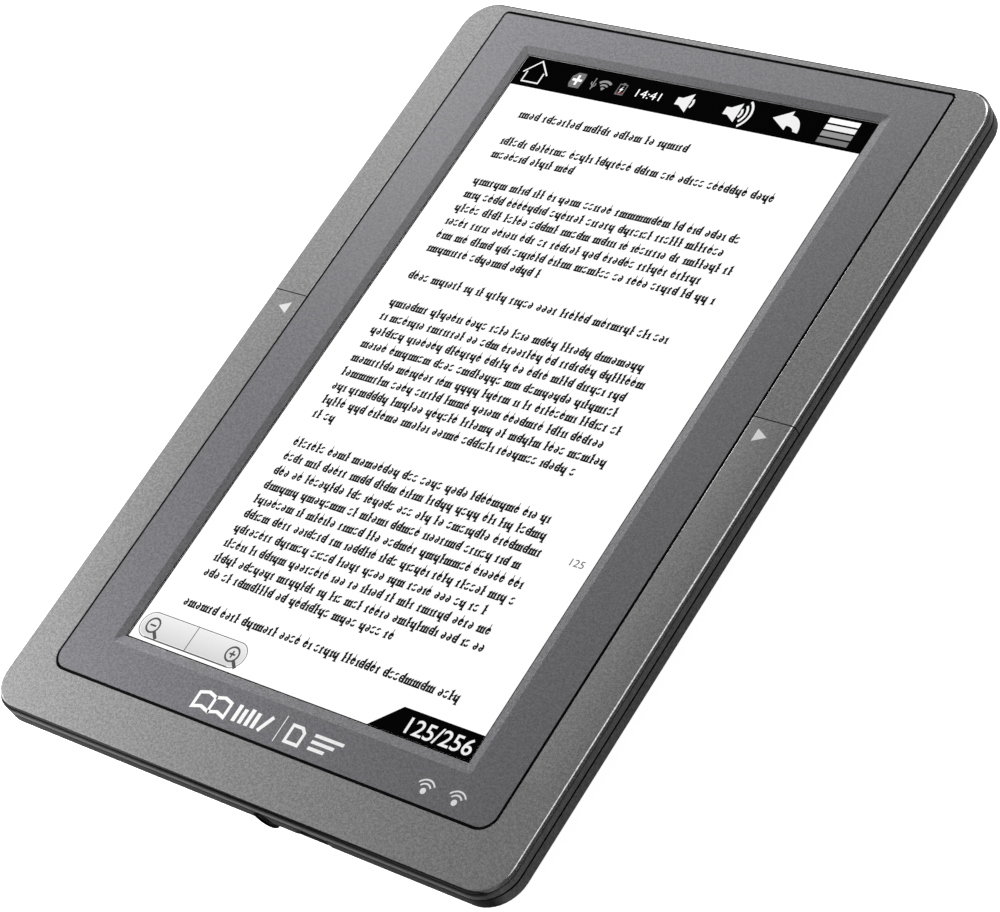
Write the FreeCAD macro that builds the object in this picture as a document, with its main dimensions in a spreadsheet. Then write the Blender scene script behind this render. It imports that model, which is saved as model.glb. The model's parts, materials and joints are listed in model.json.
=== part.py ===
import FreeCAD, Part
import math
import os
import re
import Sketcher

# An e-reader with a 7 inch screen, lying on its back.
# X runs across the screen, Y up the page and Z out of the screen. All sizes are millimetres.
# The origin is under the middle of the case, on the surface that the back cover rests on.

SIZES = {
    # The case as a whole. Depths are measured down from the front face.
    "case_width": 136.2,
    "case_height": 186.6,
    "case_depth": 11.5,
    "case_corner": 7.5,
    "front_edge_round": 0.95,
    "seam_edge_round": 0.12,
    "trim_skirt_depth": 2.05,
    "trim_skirt_width": 1.6,
    "shadow_gap": 0.45,
    "flank_depth": 4.8,
    "flank_inset_side": 7.4,
    "flank_inset_end": 3.3,
    "base_corner": 6.0,
    "base_edge_round": 1.6,
    "shell_wall": 2.0,
    "shell_floor": 1.5,
    # The bezel and the window in it.
    "bezel_width": 116.8,
    "bezel_top": 91.25,
    "bezel_bottom": -81.65,
    "bezel_top_corner": 1.0,
    "bezel_bottom_corner": 3.6,
    "bezel_seam": 0.2,
    "front_plate": 1.45,
    "screen_width": 91.44,
    "screen_height": 152.4,
    "screen_middle": 5.6,
    "window_bevel": 2.0,
    "window_bevel_corner": 0.8,
    "window_drop": 0.35,
    "window_lip": 0.15,
    # The two page keys, which are the flexing arms of the lower trim.
    "key_break": 12.3,
    "key_break_gap": 0.22,
    "key_pivot": -70.0,
    "key_pivot_gap": 0.08,
    "key_plate": 1.0,
    "key_post_across": 62.5,
    "key_post_up": 8.7,
    "key_post_radius": 1.2,
    "key_post_hole": 1.9,
    "key_post_gap": 0.05,
    # The ring inside the front that carries the bezel and the trims.
    "ring_inset": 1.75,
    "ring_opening_width": 105.8,
    "ring_opening_height": 166.6,
    "lap_gap": 0.1,
    "lap_wall": 1.0,
    "lap_drop": 1.0,
    "boss_across": 55.5,
    "boss_radius": 1.9,
    "boss_bottom": 3.0,
    "cover_boss_radius": 2.3,
    "case_screw_radius": 0.8,
    "case_screw_length": 6.0,
    "case_screw_head_radius": 1.65,
    "case_screw_head": 0.9,
    "case_screw_sink": 1.6,
    "case_screw_sink_radius": 1.8,
    # The touch panel and the parts of the display, from the front to the back.
    "touch_width": 104.6,
    "touch_height": 165.4,
    "touch_thick": 1.1,
    "tape_thick": 0.1,
    "tape_width": 4.0,
    "gasket_thick": 0.5,
    "gasket_width": 4.6,
    "lcd_width": 105.0,
    "lcd_height": 165.4,
    "lcd_thick": 3.4,
    "lcd_frame_thick": 0.2,
    "lcd_frame_width": 5.5,
    "lcd_tray_wall": 0.5,
    "lcd_tray_floor": 0.3,
    "lcd_cell_thick": 1.1,
    "lcd_film_thick": 0.3,
    "light_guide_thick": 1.2,
    "led_strip_width": 1.2,
    "chassis_width": 105.6,
    "chassis_top": 88.2,
    "chassis_bottom": -78.0,
    "chassis_thick": 0.5,
    "chassis_slot_width": 34.0,
    "chassis_slot_height": 3.0,
    "chassis_slot_drop": 12.0,
    # The electronics behind the chassis plate.
    "board_thick": 1.0,
    "board_bottom": 3.0,
    "board_width": 104.0,
    "board_low": 36.0,
    "board_high": 87.5,
    "post_radius": 2.0,
    "can_across": -3.0,
    "can_up": 58.0,
    "can_width": 36.0,
    "can_height": 19.0,
    "can_thick": 1.25,
    "can_wall": 0.2,
    "coil_size": 3.2,
    "coil_thick": 1.2,
    "coil_up": 46.0,
    "board_screw_radius": 0.7,
    "board_screw_length": 2.2,
    "board_screw_head_radius": 1.4,
    "board_screw_head": 0.5,
    "battery_width": 98.0,
    "battery_low": -62.0,
    "battery_high": 28.0,
    "battery_thick": 3.3,
    "battery_tape_width": 16.0,
    "battery_tape_height": 70.0,
    "battery_tape_thick": 0.15,
    "battery_tape_across": 28.0,
    "battery_board_width": 40.0,
    "battery_board_height": 4.2,
    "battery_board_thick": 0.8,
    "cable_thick": 0.15,
    # The ports along the bottom edge.
    "port_board_low": -89.8,
    "port_board_high": -79.2,
    "port_board_left": -32.0,
    "port_board_right": 30.0,
    "port_board_base": 5.2,
    "jack_across": 7.8,
    "jack_up": 6.5,
    "jack_bore": 1.8,
    "jack_length": 14.0,
    "jack_nose_radius": 2.15,
    "jack_nose": 3.4,
    "jack_body_width": 6.2,
    "jack_body_height": 4.8,
    "jack_hole": 2.2,
    "jack_collar": 2.75,
    "jack_collar_length": 3.2,
    "jack_face_inset": 0.35,
    "jack_back_wall": 0.6,
    "usb_across": 20.9,
    "usb_width": 7.6,
    "usb_height": 2.8,
    "usb_length": 5.6,
    "usb_wall": 0.3,
    "usb_face_inset": 0.9,
    "usb_tongue_thick": 0.6,
    "usb_cutout_width": 8.8,
    # The card slot, the power button and the speaker.
    "card_across": -22.0,
    "card_width": 14.4,
    "card_length": 14.6,
    "card_height": 1.4,
    "card_slot_width": 12.0,
    "card_socket_overhang": 0.9,
    "card_wall_side": 1.3,
    "card_wall_below": 0.25,
    "power_across": 34.0,
    "power_up": 5.6,
    "power_width": 9.2,
    "power_height": 2.0,
    "power_gap": 0.1,
    "power_inset": 0.1,
    "power_flange_gap": 1.3,
    "power_flange_thick": 0.8,
    "power_flange_side": 0.9,
    "power_flange_rise": 0.3,
    "power_edge_round": 0.3,
    "side_switch_width": 6.4,
    "side_switch_depth": 3.6,
    "side_switch_height": 1.4,
    "speaker_across": -34.0,
    "speaker_up": -78.0,
    "speaker_width": 20.0,
    "speaker_height": 14.0,
    "speaker_thick": 2.7,
    "speaker_recess_depth": 0.8,
    "speaker_rim": 1.6,
    "speaker_foam_thick": 0.4,
    "speaker_foam_width": 1.2,
    "grille_hole": 0.6,
    "grille_pitch": 2.4,
    # The switches under the page keys.
    "switch_size": 4.2,
    "switch_thick": 1.6,
    "switch_plunger_radius": 0.9,
    "switch_plunger_gap": 0.08,
    "switch_plunger_rise": 0.6,
    "switch_well_floor": 0.6,
    "switch_plunger_foot": 1.1,
    "switch_offset": 0.5,
    "key_board_base": 6.0,
    "key_board_thick": 0.8,
    "key_board_inner": 58.2,
    "key_board_outer": 64.2,
    "key_board_low": -2.0,
    "key_board_high": 46.0,
}

# Places that repeat: heights up the page of the case screws, and spots on the mainboard.
CASE_SCREW_ROWS = (-84.0, -24.0, 34.0, 84.0)
BOARD_SCREW_SPOTS = ((-47.0, 40.5), (47.0, 40.5), (-47.0, 82.0), (47.0, 82.0))
BASE_EDGE_STEPS = 4
GRILLE_COLUMNS = 6
GRILLE_ROWS = 4
SIDES = (("left", -1), ("right", 1))

# The larger chips on the mainboard: name, place across and up, width, height, thickness.
CHIPS = (
    ("processor", -12.0, 58.0, 14.0, 14.0, 0.9),
    ("memory_chip", 6.0, 58.0, 11.0, 12.0, 0.8),
    ("flash_chip", 28.0, 66.0, 12.0, 17.0, 0.9),
    ("power_chip", 28.0, 47.0, 7.0, 7.0, 0.8),
    ("wifi_module", -38.0, 64.0, 12.0, 13.0, 1.3),
)
COIL_SPOTS = (36.0, 41.0)

# How far a cutting solid reaches past the piece that it cuts.
CLEAR = 1.0

# Heights that many parts share, as formulas over the sheet.
RING_TOP = "case_depth - front_plate"
SHELL_TOP = "case_depth - trim_skirt_depth - shadow_gap"
SKIRT_BOTTOM = "case_depth - trim_skirt_depth"
FLANK_TOP = "case_depth - flank_depth"
TOUCH_TOP = "case_depth - window_drop - window_lip - tape_thick"
TOUCH_BOTTOM = f"{TOUCH_TOP} - touch_thick"
LCD_TOP = f"{TOUCH_BOTTOM} - gasket_thick"
LCD_BOTTOM = f"{LCD_TOP} - lcd_thick"
CHASSIS_BOTTOM = f"{LCD_BOTTOM} - chassis_thick"
BOARD_TOP = "board_bottom + board_thick"
PORT_BOARD_TOP = "port_board_base + board_thick"
SWITCH_BASE = "key_board_base + key_board_thick"
BEZEL_SIDE = "bezel_width / 2 + bezel_seam"
PLUNGER_TOP = f"{SWITCH_BASE} + switch_thick + switch_plunger_rise"
JACK_FACE = "-case_height / 2 + jack_face_inset"
POWER_FLANGE_BACK = "board_high + power_flange_gap"

V = FreeCAD.Vector
doc = FreeCAD.newDocument("e_reader")
sheet = doc.addObject("Spreadsheet::Sheet", "Dimensions")
nodes = []


def fill_sheet():
    """Writes every driving dimension into the sheet, its name beside it as the alias."""
    for row, (name, size) in enumerate(SIZES.items(), start=1):
        sheet.set(f"A{row}", name)
        sheet.set(f"B{row}", str(size))
        sheet.setAlias(f"B{row}", name)
    doc.recompute()


def in_sheet(formula):
    """Puts the sheet's name in front of each dimension that the formula uses."""
    def full_name(word):
        return f"Dimensions.{word.group()}" if word.group() in SIZES else word.group()
    return re.sub(r"[a-z]\w+", full_name, str(formula))


def bind(thing, path, formula):
    """Ties one size or coordinate of an object to a formula."""
    thing.setExpression(path, in_sheet(formula))


def number(formula):
    """The value that a formula has now, read back from an object bound to it."""
    bind(probe, "X", formula)
    probe.recompute()
    return probe.X.Value


# ---------------------------------------------------------------- helpers for bodies and sketches

def start_body(label):
    body = doc.addObject("PartDesign::Body", label)
    body.Label = label
    return body


def sketch_on(body, name, role, offset):
    plane = next(item for item in body.Origin.OriginFeatures if item.Role == role)
    sketch = body.newObject("Sketcher::SketchObject", name)
    sketch.AttachmentSupport = [(plane, "")]
    sketch.MapMode = "FlatFace"
    bind(sketch, "AttachmentOffset.Base.z", offset)
    return sketch


def level_sketch(body, name, height):
    """A sketch in a horizontal plane at the given height."""
    return sketch_on(body, name, "XY_Plane", height)


def upright_sketch(body, name, distance):
    """A sketch in a plane across Y, whose own axes are X and Z, facing the bottom edge."""
    return sketch_on(body, name, "XZ_Plane", f"-({distance})")


def pin_point(sketch, shape, end, name, x, y):
    """Holds one point of a sketch at (x, y), each bound to its formula."""
    for axis, formula in (("X", x), ("Y", y)):
        constraint = Sketcher.Constraint(f"Distance{axis}", -1, 1, shape, end, number(formula))
        index = sketch.addConstraint(constraint)
        label = f"{name}_{axis.lower()}"
        sketch.renameConstraint(index, label)
        bind(sketch, f"Constraints.{label}", formula)


def draw_outline(sketch, corners, name="corner"):
    """Draws a closed outline. A corner is (x, y, radius) in formulas; a radius of None is sharp."""
    points = [V(number(x), number(y), 0) for x, y, _ in corners]
    radii = [number(radius) if radius else 0.0 for _, _, radius in corners]
    starts = []
    ends = []
    arcs = []
    for here, (point, radius) in enumerate(zip(points, radii)):
        back = (points[here - 1] - point).normalize()
        ahead = (points[(here + 1) % len(points)] - point).normalize()
        half_angle = back.getAngle(ahead) / 2
        reach = radius / math.tan(half_angle)
        starts.append(point + back * reach)
        ends.append(point + ahead * reach)
        turns_left = back.cross(ahead).z < 0
        if radius:
            centre = point + (back + ahead).normalize() * (radius / math.sin(half_angle))
            first, last = (starts[-1], ends[-1]) if turns_left else (ends[-1], starts[-1])
            angles = [math.atan2((p - centre).y, (p - centre).x) for p in (first, last)]
            circle = Part.Circle(centre, V(0, 0, 1), radius)
            arc = sketch.addGeometry(Part.ArcOfCircle(circle, angles[0], angles[1]), False)
            arcs.append((arc, turns_left))
        else:
            arcs.append((None, turns_left))
    lines = []
    for here in range(len(points)):
        following = (here + 1) % len(points)
        line = Part.LineSegment(ends[here], starts[following])
        lines.append(sketch.addGeometry(line, False))
    for here, (x, y, radius) in enumerate(corners):
        before = lines[here - 1]
        after = lines[here]
        arc, turns_left = arcs[here]
        label = f"{name}{here + 1}"
        if arc is None:
            sketch.addConstraint(Sketcher.Constraint("Coincident", before, 2, after, 1))
            pin_point(sketch, after, 1, label, x, y)
            continue
        arc_in, arc_out = (1, 2) if turns_left else (2, 1)
        sketch.addConstraint(Sketcher.Constraint("Tangent", before, 2, arc, arc_in))
        sketch.addConstraint(Sketcher.Constraint("Tangent", arc, arc_out, after, 1))
        index = sketch.addConstraint(Sketcher.Constraint("Radius", arc, radii[here]))
        sketch.renameConstraint(index, f"{label}_radius")
        bind(sketch, f"Constraints.{label}_radius", radius)
        mark = sketch.addGeometry(Part.Point(points[here]), True)
        sketch.addConstraint(Sketcher.Constraint("PointOnObject", mark, 1, before))
        sketch.addConstraint(Sketcher.Constraint("PointOnObject", mark, 1, after))
        pin_point(sketch, mark, 1, label, x, y)


def draw_rectangle(sketch, left, right, low, high, radius=None, name="corner"):
    corners = [(left, low, radius), (right, low, radius), (right, high, radius), (left, high, radius)]
    draw_outline(sketch, corners, name)


def draw_circle(sketch, x, y, radius, name="circle"):
    circle = Part.Circle(V(number(x), number(y), 0), V(0, 0, 1), number(radius))
    shape = sketch.addGeometry(circle, False)
    index = sketch.addConstraint(Sketcher.Constraint("Radius", shape, number(radius)))
    sketch.renameConstraint(index, f"{name}_radius")
    bind(sketch, f"Constraints.{name}_radius", radius)
    pin_point(sketch, shape, 3, name, x, y)


def pad(body, sketch, length, reverse=False):
    """Raises a sketch into a solid along the sketch's own normal."""
    feature = body.newObject("PartDesign::Pad", f"{sketch.Name}_pad")
    feature.Profile = sketch
    feature.Reversed = reverse
    bind(feature, "Length", length)
    doc.recompute()
    return feature


def pocket(body, sketch, depth, reverse=False):
    """Cuts a sketch into the body, against its normal, and makes sure that something was cut."""
    volume_before = body.Shape.Volume
    feature = body.newObject("PartDesign::Pocket", f"{sketch.Name}_pocket")
    feature.Profile = sketch
    feature.Reversed = reverse
    bind(feature, "Length", depth)
    doc.recompute()
    if body.Shape.Volume >= volume_before:
        raise ValueError(f"{feature.Name} cuts nothing")
    return feature


def loft(body, kind, first, second):
    feature = body.newObject(f"PartDesign::{kind}", f"{first.Name}_loft")
    feature.Profile = first
    feature.Sections = [second]
    feature.Ruled = True
    doc.recompute()
    return feature


def round_edges(body, feature, radius, is_wanted, name):
    """Rounds those edges of the body whose two ends both pass the test."""
    names = []
    for index, edge in enumerate(feature.Shape.Edges, start=1):
        if all(is_wanted(vertex.Point) for vertex in edge.Vertexes):
            names.append(f"Edge{index}")
    fillet = body.newObject("PartDesign::Fillet", name)
    fillet.Base = (feature, names)
    bind(fillet, "Radius", radius)
    doc.recompute()
    return fillet


def near(value, target):
    return abs(value - target) < 1e-4


# ---------------------------------------------------------------- helpers for plain solids

def place(thing, x, y, z):
    bind(thing, "Placement.Base.x", x)
    bind(thing, "Placement.Base.y", y)
    bind(thing, "Placement.Base.z", z)


def block(label, x, y, z, width, height, thick):
    """A box centred on (x, y), standing on the height z."""
    box = doc.addObject("Part::Box", label)
    bind(box, "Length", width)
    bind(box, "Width", height)
    bind(box, "Height", thick)
    place(box, f"({x}) - ({width}) / 2", f"({y}) - ({height}) / 2", z)
    return box


def disc(label, x, y, z, radius, thick):
    """An upright cylinder standing on the height z."""
    cylinder = doc.addObject("Part::Cylinder", label)
    bind(cylinder, "Radius", radius)
    bind(cylinder, "Height", thick)
    place(cylinder, x, y, z)
    return cylinder


def tube_along_y(label, x, y, z, radius, length):
    """A cylinder that lies along Y and starts at y."""
    cylinder = disc(label, x, y, z, radius, length)
    cylinder.Placement.Rotation = FreeCAD.Rotation(V(1, 0, 0), -90)
    place(cylinder, x, y, z)
    return cylinder


def fuse(label, *pieces):
    joined = doc.addObject("Part::MultiFuse", label)
    joined.Shapes = list(pieces)
    return joined


def cut(label, base, *tools):
    result = doc.addObject("Part::Cut", label)
    result.Base = base
    result.Tool = tools[0] if len(tools) == 1 else fuse(f"{label}_tools", *tools)
    return result


def group(label, pieces):
    """Several separate solids under one name."""
    compound = doc.addObject("Part::Compound", label)
    compound.Links = pieces
    return compound


def keep(label, thing):
    """Names a finished piece and puts it on the list of pieces that are written out."""
    thing.Label = label
    nodes.append(thing)


# ---------------------------------------------------------------- the front of the case

def make_front_bezel():
    """The dark panel round the screen, with a shallow bevel down to the window."""
    body = start_body("front_bezel")
    low, high = "bezel_bottom", "bezel_top"
    outline = level_sketch(body, "bezel_outline", RING_TOP)
    draw_outline(outline, [
        ("-bezel_width / 2", low, "bezel_bottom_corner"),
        ("bezel_width / 2", low, "bezel_bottom_corner"),
        ("bezel_width / 2", high, "bezel_top_corner"),
        ("-bezel_width / 2", high, "bezel_top_corner"),
    ])
    panel = pad(body, outline, "front_plate")
    front = number("case_depth")
    rounded = round_edges(body, panel, "seam_edge_round", lambda p: near(p.z, front), "bezel_edge")
    body.Tip = rounded
    window = level_sketch(body, "bezel_window", "case_depth")
    draw_screen_rectangle(window, "0")
    pocket(body, window, "front_plate")
    upper = level_sketch(body, "bevel_top", "case_depth")
    draw_screen_rectangle(upper, "window_bevel", "window_bevel_corner")
    lower = level_sketch(body, "bevel_bottom", "case_depth - window_drop")
    draw_screen_rectangle(lower, "0", "window_bevel_corner / 4")
    loft(body, "SubtractiveLoft", upper, lower)
    seat = level_sketch(body, "bezel_panel_seat", RING_TOP)
    draw_ring_opening(seat)
    pocket(body, seat, "front_plate - window_drop - window_lip", reverse=True)
    keep("front_bezel", body)


def draw_screen_rectangle(sketch, margin, radius=None):
    """The outline of the screen, with a margin added on every side."""
    across = f"screen_width / 2 + {margin}"
    up = f"screen_height / 2 + {margin}"
    low = f"screen_middle - ({up})"
    high = f"screen_middle + {up}"
    draw_rectangle(sketch, f"-({across})", across, low, high, radius)


def draw_ring_opening(sketch, name="corner"):
    """The outline of the space that holds the touch panel and the display."""
    across = "ring_opening_width / 2"
    up = "ring_opening_height / 2"
    low = f"screen_middle - {up}"
    high = f"screen_middle + {up}"
    draw_rectangle(sketch, f"-{across}", across, low, high, name=name)


def draw_upper_band(sketch, inner_side, inner_top, inner_radius):
    """The upper trim seen from the front: an arch that ends at the page keys' break."""
    foot = "key_break + key_break_gap / 2"
    draw_outline(sketch, [
        ("case_width / 2", foot, None),
        ("case_width / 2", "case_height / 2", "case_corner"),
        ("-case_width / 2", "case_height / 2", "case_corner"),
        ("-case_width / 2", foot, None),
        (f"-({inner_side})", foot, None),
        (f"-({inner_side})", inner_top, inner_radius),
        (inner_side, inner_top, inner_radius),
        (inner_side, foot, None),
    ])


def draw_lower_band(sketch, inner_side, inner_bottom, inner_radius):
    """The lower trim seen from the front: a U that ends where the page keys start to flex."""
    draw_outline(sketch, [
        ("-case_width / 2", "key_pivot", None),
        ("-case_width / 2", "-case_height / 2", "case_corner"),
        ("case_width / 2", "-case_height / 2", "case_corner"),
        ("case_width / 2", "key_pivot", None),
        (inner_side, "key_pivot", None),
        (inner_side, inner_bottom, inner_radius),
        (f"-({inner_side})", inner_bottom, inner_radius),
        (f"-({inner_side})", "key_pivot", None),
    ])


def on_case_outline(point):
    """Whether a point is on the outside of the case, at the level of the front face."""
    on_side = near(abs(point.x), number("case_width / 2"))
    on_end = near(abs(point.y), number("case_height / 2"))
    return near(point.z, number("case_depth")) and (on_side or on_end)


def finish_trim(body, skirt_pad, label):
    """Rounds the trim's outer edge strongly, and the edges along its seams lightly."""
    outer = round_edges(body, skirt_pad, "front_edge_round", on_case_outline, f"{label}_edge")
    front = number("case_depth")
    inner_side = number(BEZEL_SIDE)
    seam = round_edges(
        body, outer, "seam_edge_round",
        lambda p: near(p.z, front) and abs(p.x) < inner_side + 1e-3, f"{label}_seam_edge")
    body.Tip = seam
    keep(label, body)


def make_trim(label, draw_band, skirt_end, skirt_corner, plate_end, plate_corner):
    """One of the two fixed trims: a plate round the bezel with a short skirt along its outer edge."""
    body = start_body(label)
    skirt = level_sketch(body, f"{label}_skirt", SKIRT_BOTTOM)
    draw_band(skirt, "case_width / 2 - trim_skirt_width", skirt_end, skirt_corner)
    pad(body, skirt, "trim_skirt_depth - front_plate")
    plate = level_sketch(body, f"{label}_plate", RING_TOP)
    draw_band(plate, BEZEL_SIDE, plate_end, plate_corner)
    finish_trim(body, pad(body, plate, "front_plate"), label)


def make_trims():
    skirt_corner = "case_corner - trim_skirt_width"
    make_trim(
        "upper_trim", draw_upper_band, "case_height / 2 - trim_skirt_width", skirt_corner,
        "bezel_top + bezel_seam", "bezel_top_corner + bezel_seam")
    make_trim(
        "lower_trim", draw_lower_band, "-case_height / 2 + trim_skirt_width", skirt_corner,
        "bezel_bottom - bezel_seam", "bezel_bottom_corner + bezel_seam")


def make_page_key(side, sign):
    """One arm of the lower trim, from where it flexes up to its free end, with its switch post."""
    label = f"{side}_page_key"
    body = start_body(label)
    foot = "key_pivot + key_pivot_gap"
    tip = "key_break - key_break_gap / 2"
    edges = {
        "outer": f"{sign} * case_width / 2",
        "skirt": f"{sign} * (case_width / 2 - trim_skirt_width)",
        "inner": f"{sign} * ({BEZEL_SIDE})",
    }
    skirt = level_sketch(body, f"{side}_key_skirt", SKIRT_BOTTOM)
    draw_rectangle(skirt, *sorted((edges["skirt"], edges["outer"]), key=number), foot, tip)
    pad(body, skirt, "trim_skirt_depth - key_plate")
    post_base = f"{PLUNGER_TOP} + key_post_gap"
    post = level_sketch(body, f"{side}_key_post", post_base)
    draw_circle(post, f"{sign} * key_post_across", "key_post_up", "key_post_radius")
    post_length = f"case_depth - key_plate / 2 - ({post_base})"
    plate = level_sketch(body, f"{side}_key_plate", "case_depth - key_plate")
    draw_rectangle(plate, *sorted((edges["inner"], edges["outer"]), key=number), foot, tip)
    pad(body, plate, "key_plate")
    finish_trim(body, pad(body, post, post_length), label)


def make_front_housing():
    """The moulded ring behind the trims, with the lap that fits in the shell and the screw bosses."""
    body = start_body("front_housing")
    ring = level_sketch(body, "ring", SHELL_TOP)
    side = "case_width / 2 - ring_inset"
    end = "case_height / 2 - ring_inset"
    draw_rectangle(ring, f"-({side})", side, f"-({end})", end, "case_corner - ring_inset", "outer")
    draw_ring_opening(ring, "inner")
    pad(body, ring, "trim_skirt_depth + shadow_gap - front_plate")
    lap = level_sketch(body, "lap", f"{SHELL_TOP} - lap_drop")
    for name, inset in (("outer", "shell_wall + lap_gap"), ("inner", "shell_wall + lap_gap + lap_wall")):
        side = f"case_width / 2 - ({inset})"
        end = f"case_height / 2 - ({inset})"
        draw_rectangle(lap, f"-({side})", side, f"-({end})", end, f"case_corner - ({inset})", name)
    pad(body, lap, "lap_drop")
    bosses = level_sketch(body, "bosses", "boss_bottom")
    screw_holes = level_sketch(body, "screw_holes", "boss_bottom")
    for row, up in enumerate(CASE_SCREW_ROWS, start=1):
        for side_name, sign in SIDES:
            spot = (f"{sign} * boss_across", up)
            draw_circle(bosses, *spot, "boss_radius", f"{side_name}{row}")
            draw_circle(screw_holes, *spot, "case_screw_radius", f"{side_name}{row}")
    pad(body, bosses, f"{SHELL_TOP} - boss_bottom")
    pocket(body, screw_holes, f"{SHELL_TOP} - boss_bottom - lap_drop", reverse=True)
    posts = level_sketch(body, "post_holes", RING_TOP)
    for side_name, sign in SIDES:
        draw_circle(posts, f"{sign} * key_post_across", "key_post_up", "key_post_hole", side_name)
    pocket(body, posts, f"{RING_TOP} - ({SHELL_TOP})")
    make_port_relief(body)
    keep("front_housing", body)


def make_port_relief(body):
    """Room in the ring and its lap for the jack and the USB socket."""
    left = "jack_across - jack_body_width / 2 - 1"
    right = "usb_across + usb_width / 2 + 1"
    relief = level_sketch(body, "port_relief", RING_TOP)
    draw_rectangle(
        relief, left, right, "-case_height / 2 + ring_inset + lap_wall",
        "port_board_high + 1")
    pocket(body, relief, "front_plate")
    gate = level_sketch(body, "port_gate", SHELL_TOP)
    draw_rectangle(
        gate, left, right, "-case_height / 2 + ring_inset",
        "-case_height / 2 + shell_wall + lap_gap + 2 * lap_wall")
    pocket(body, gate, "lap_drop")


# ---------------------------------------------------------------- the back of the case

def draw_shell_outline(sketch, inset_side, inset_end, radius):
    side = f"case_width / 2 - ({inset_side})"
    end = f"case_height / 2 - ({inset_end})"
    draw_rectangle(sketch, f"-({side})", side, f"-({end})", end, radius)


def make_back_cover():
    """The rear shell: upright rim, flanks that draw in towards the back, bosses and openings."""
    body = start_body("back_cover")
    below = None
    for step in range(BASE_EDGE_STEPS + 2):
        height, inset_side, inset_end = flank_at(step)
        level = level_sketch(body, f"shell_level{step}", height)
        corner = "case_corner" if step > BASE_EDGE_STEPS else "base_corner"
        draw_shell_outline(level, inset_side, inset_end, corner)
        if below:
            loft(body, "AdditiveLoft", below, level)
        below = level
    rim = level_sketch(body, "shell_rim", FLANK_TOP)
    draw_shell_outline(rim, "0", "0", "case_corner")
    pad(body, rim, f"{SHELL_TOP} - ({FLANK_TOP})")
    make_shell_hollow(body)
    make_jack_collar(body)
    make_shell_bosses(body)
    make_shell_openings(body)
    keep("back_cover", body)


def flank_at(step):
    """Height and insets of one level of the outside: the rounded base edge, then the shoulder."""
    if step > BASE_EDGE_STEPS:
        return FLANK_TOP, "0", "0"
    angle = math.pi / 2 * step / BASE_EDGE_STEPS
    height = f"base_edge_round * {1 - math.cos(angle):.4f}"
    rounding = f"base_edge_round * {1 - math.sin(angle):.4f}"
    share = f"(1 - {height} / ({FLANK_TOP}))"
    return height, f"flank_inset_side * {share} + {rounding}", f"flank_inset_end * {share} + {rounding}"


def make_shell_hollow(body):
    """The inside of the shell follows the outside at the wall's thickness."""
    floor_share = f"(1 - shell_floor / ({FLANK_TOP}))"
    floor = level_sketch(body, "hollow_floor", "shell_floor")
    draw_shell_outline(
        floor, f"flank_inset_side * {floor_share} + shell_wall",
        f"flank_inset_end * {floor_share} + shell_wall", "base_corner - shell_wall")
    shoulder = level_sketch(body, "hollow_shoulder", FLANK_TOP)
    draw_shell_outline(shoulder, "shell_wall", "shell_wall", "case_corner - shell_wall")
    loft(body, "SubtractiveLoft", floor, shoulder)
    rim = level_sketch(body, "hollow_rim", SHELL_TOP)
    draw_shell_outline(rim, "shell_wall", "shell_wall", "case_corner - shell_wall")
    pocket(body, rim, f"{SHELL_TOP} - ({FLANK_TOP})")


def make_jack_collar(body):
    """A short round collar that carries the jack's hole out to the rim, below the shoulder."""
    collar = upright_sketch(body, "jack_collar", JACK_FACE)
    draw_circle(collar, "jack_across", f"{SHELL_TOP} - jack_collar", "jack_collar")
    pad(body, collar, "jack_collar_length", reverse=True)


def make_shell_bosses(body):
    """Bosses for the case screws, posts for the mainboard, and the holes through the bosses."""
    bosses = level_sketch(body, "cover_bosses", "shell_floor")
    holes = level_sketch(body, "cover_screw_holes", "boss_bottom")
    sinks = level_sketch(body, "cover_screw_sinks", "0")
    for row, up in enumerate(CASE_SCREW_ROWS, start=1):
        for side_name, sign in SIDES:
            spot = (f"{sign} * boss_across", up)
            draw_circle(bosses, *spot, "cover_boss_radius", f"{side_name}{row}")
            draw_circle(holes, *spot, "case_screw_radius + 0.15", f"{side_name}{row}")
            draw_circle(sinks, *spot, "case_screw_sink_radius", f"{side_name}{row}")
    pad(body, bosses, "boss_bottom - shell_floor")
    pocket(body, holes, "boss_bottom")
    pocket(body, sinks, "case_screw_sink", reverse=True)
    posts = level_sketch(body, "board_posts", "shell_floor")
    pilots = level_sketch(body, "board_pilots", "board_bottom")
    for index, (across, up) in enumerate(BOARD_SCREW_SPOTS, start=1):
        draw_circle(posts, across, up, "post_radius", f"post{index}")
        draw_circle(pilots, across, up, "board_screw_radius", f"pilot{index}")
    pad(body, posts, "board_bottom - shell_floor")
    pocket(body, pilots, "board_screw_length - board_thick")


def make_shell_openings(body):
    """Openings for the ports, the card, the power button and the speaker."""
    wall_reach = f"flank_inset_end + shell_wall + {CLEAR}"
    jack = upright_sketch(body, "jack_hole", "-case_height / 2")
    draw_circle(jack, "jack_across", "jack_up", "jack_hole")
    pocket(body, jack, wall_reach)
    usb = upright_sketch(body, "usb_cutout", "-case_height / 2")
    side = "usb_cutout_width / 2"
    draw_rectangle(
        usb, f"usb_across - {side}", f"usb_across + {side}",
        f"{PORT_BOARD_TOP} - 0.2", f"{SHELL_TOP} + 0.5")
    pocket(body, usb, wall_reach)
    card = upright_sketch(body, "card_slot", "case_height / 2")
    side = "card_slot_width / 2"
    draw_rectangle(
        card, f"card_across - {side}", f"card_across + {side}",
        f"{BOARD_TOP} + 0.2", f"{BOARD_TOP} + card_height - 0.1")
    pocket(body, card, wall_reach, reverse=True)
    power = upright_sketch(body, "power_hole", "case_height / 2")
    draw_key_outline(power, "power_gap", "power_gap", "power_height / 2 + power_gap - 0.05")
    pocket(body, power, wall_reach, reverse=True)
    make_speaker_grille(body)


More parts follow.
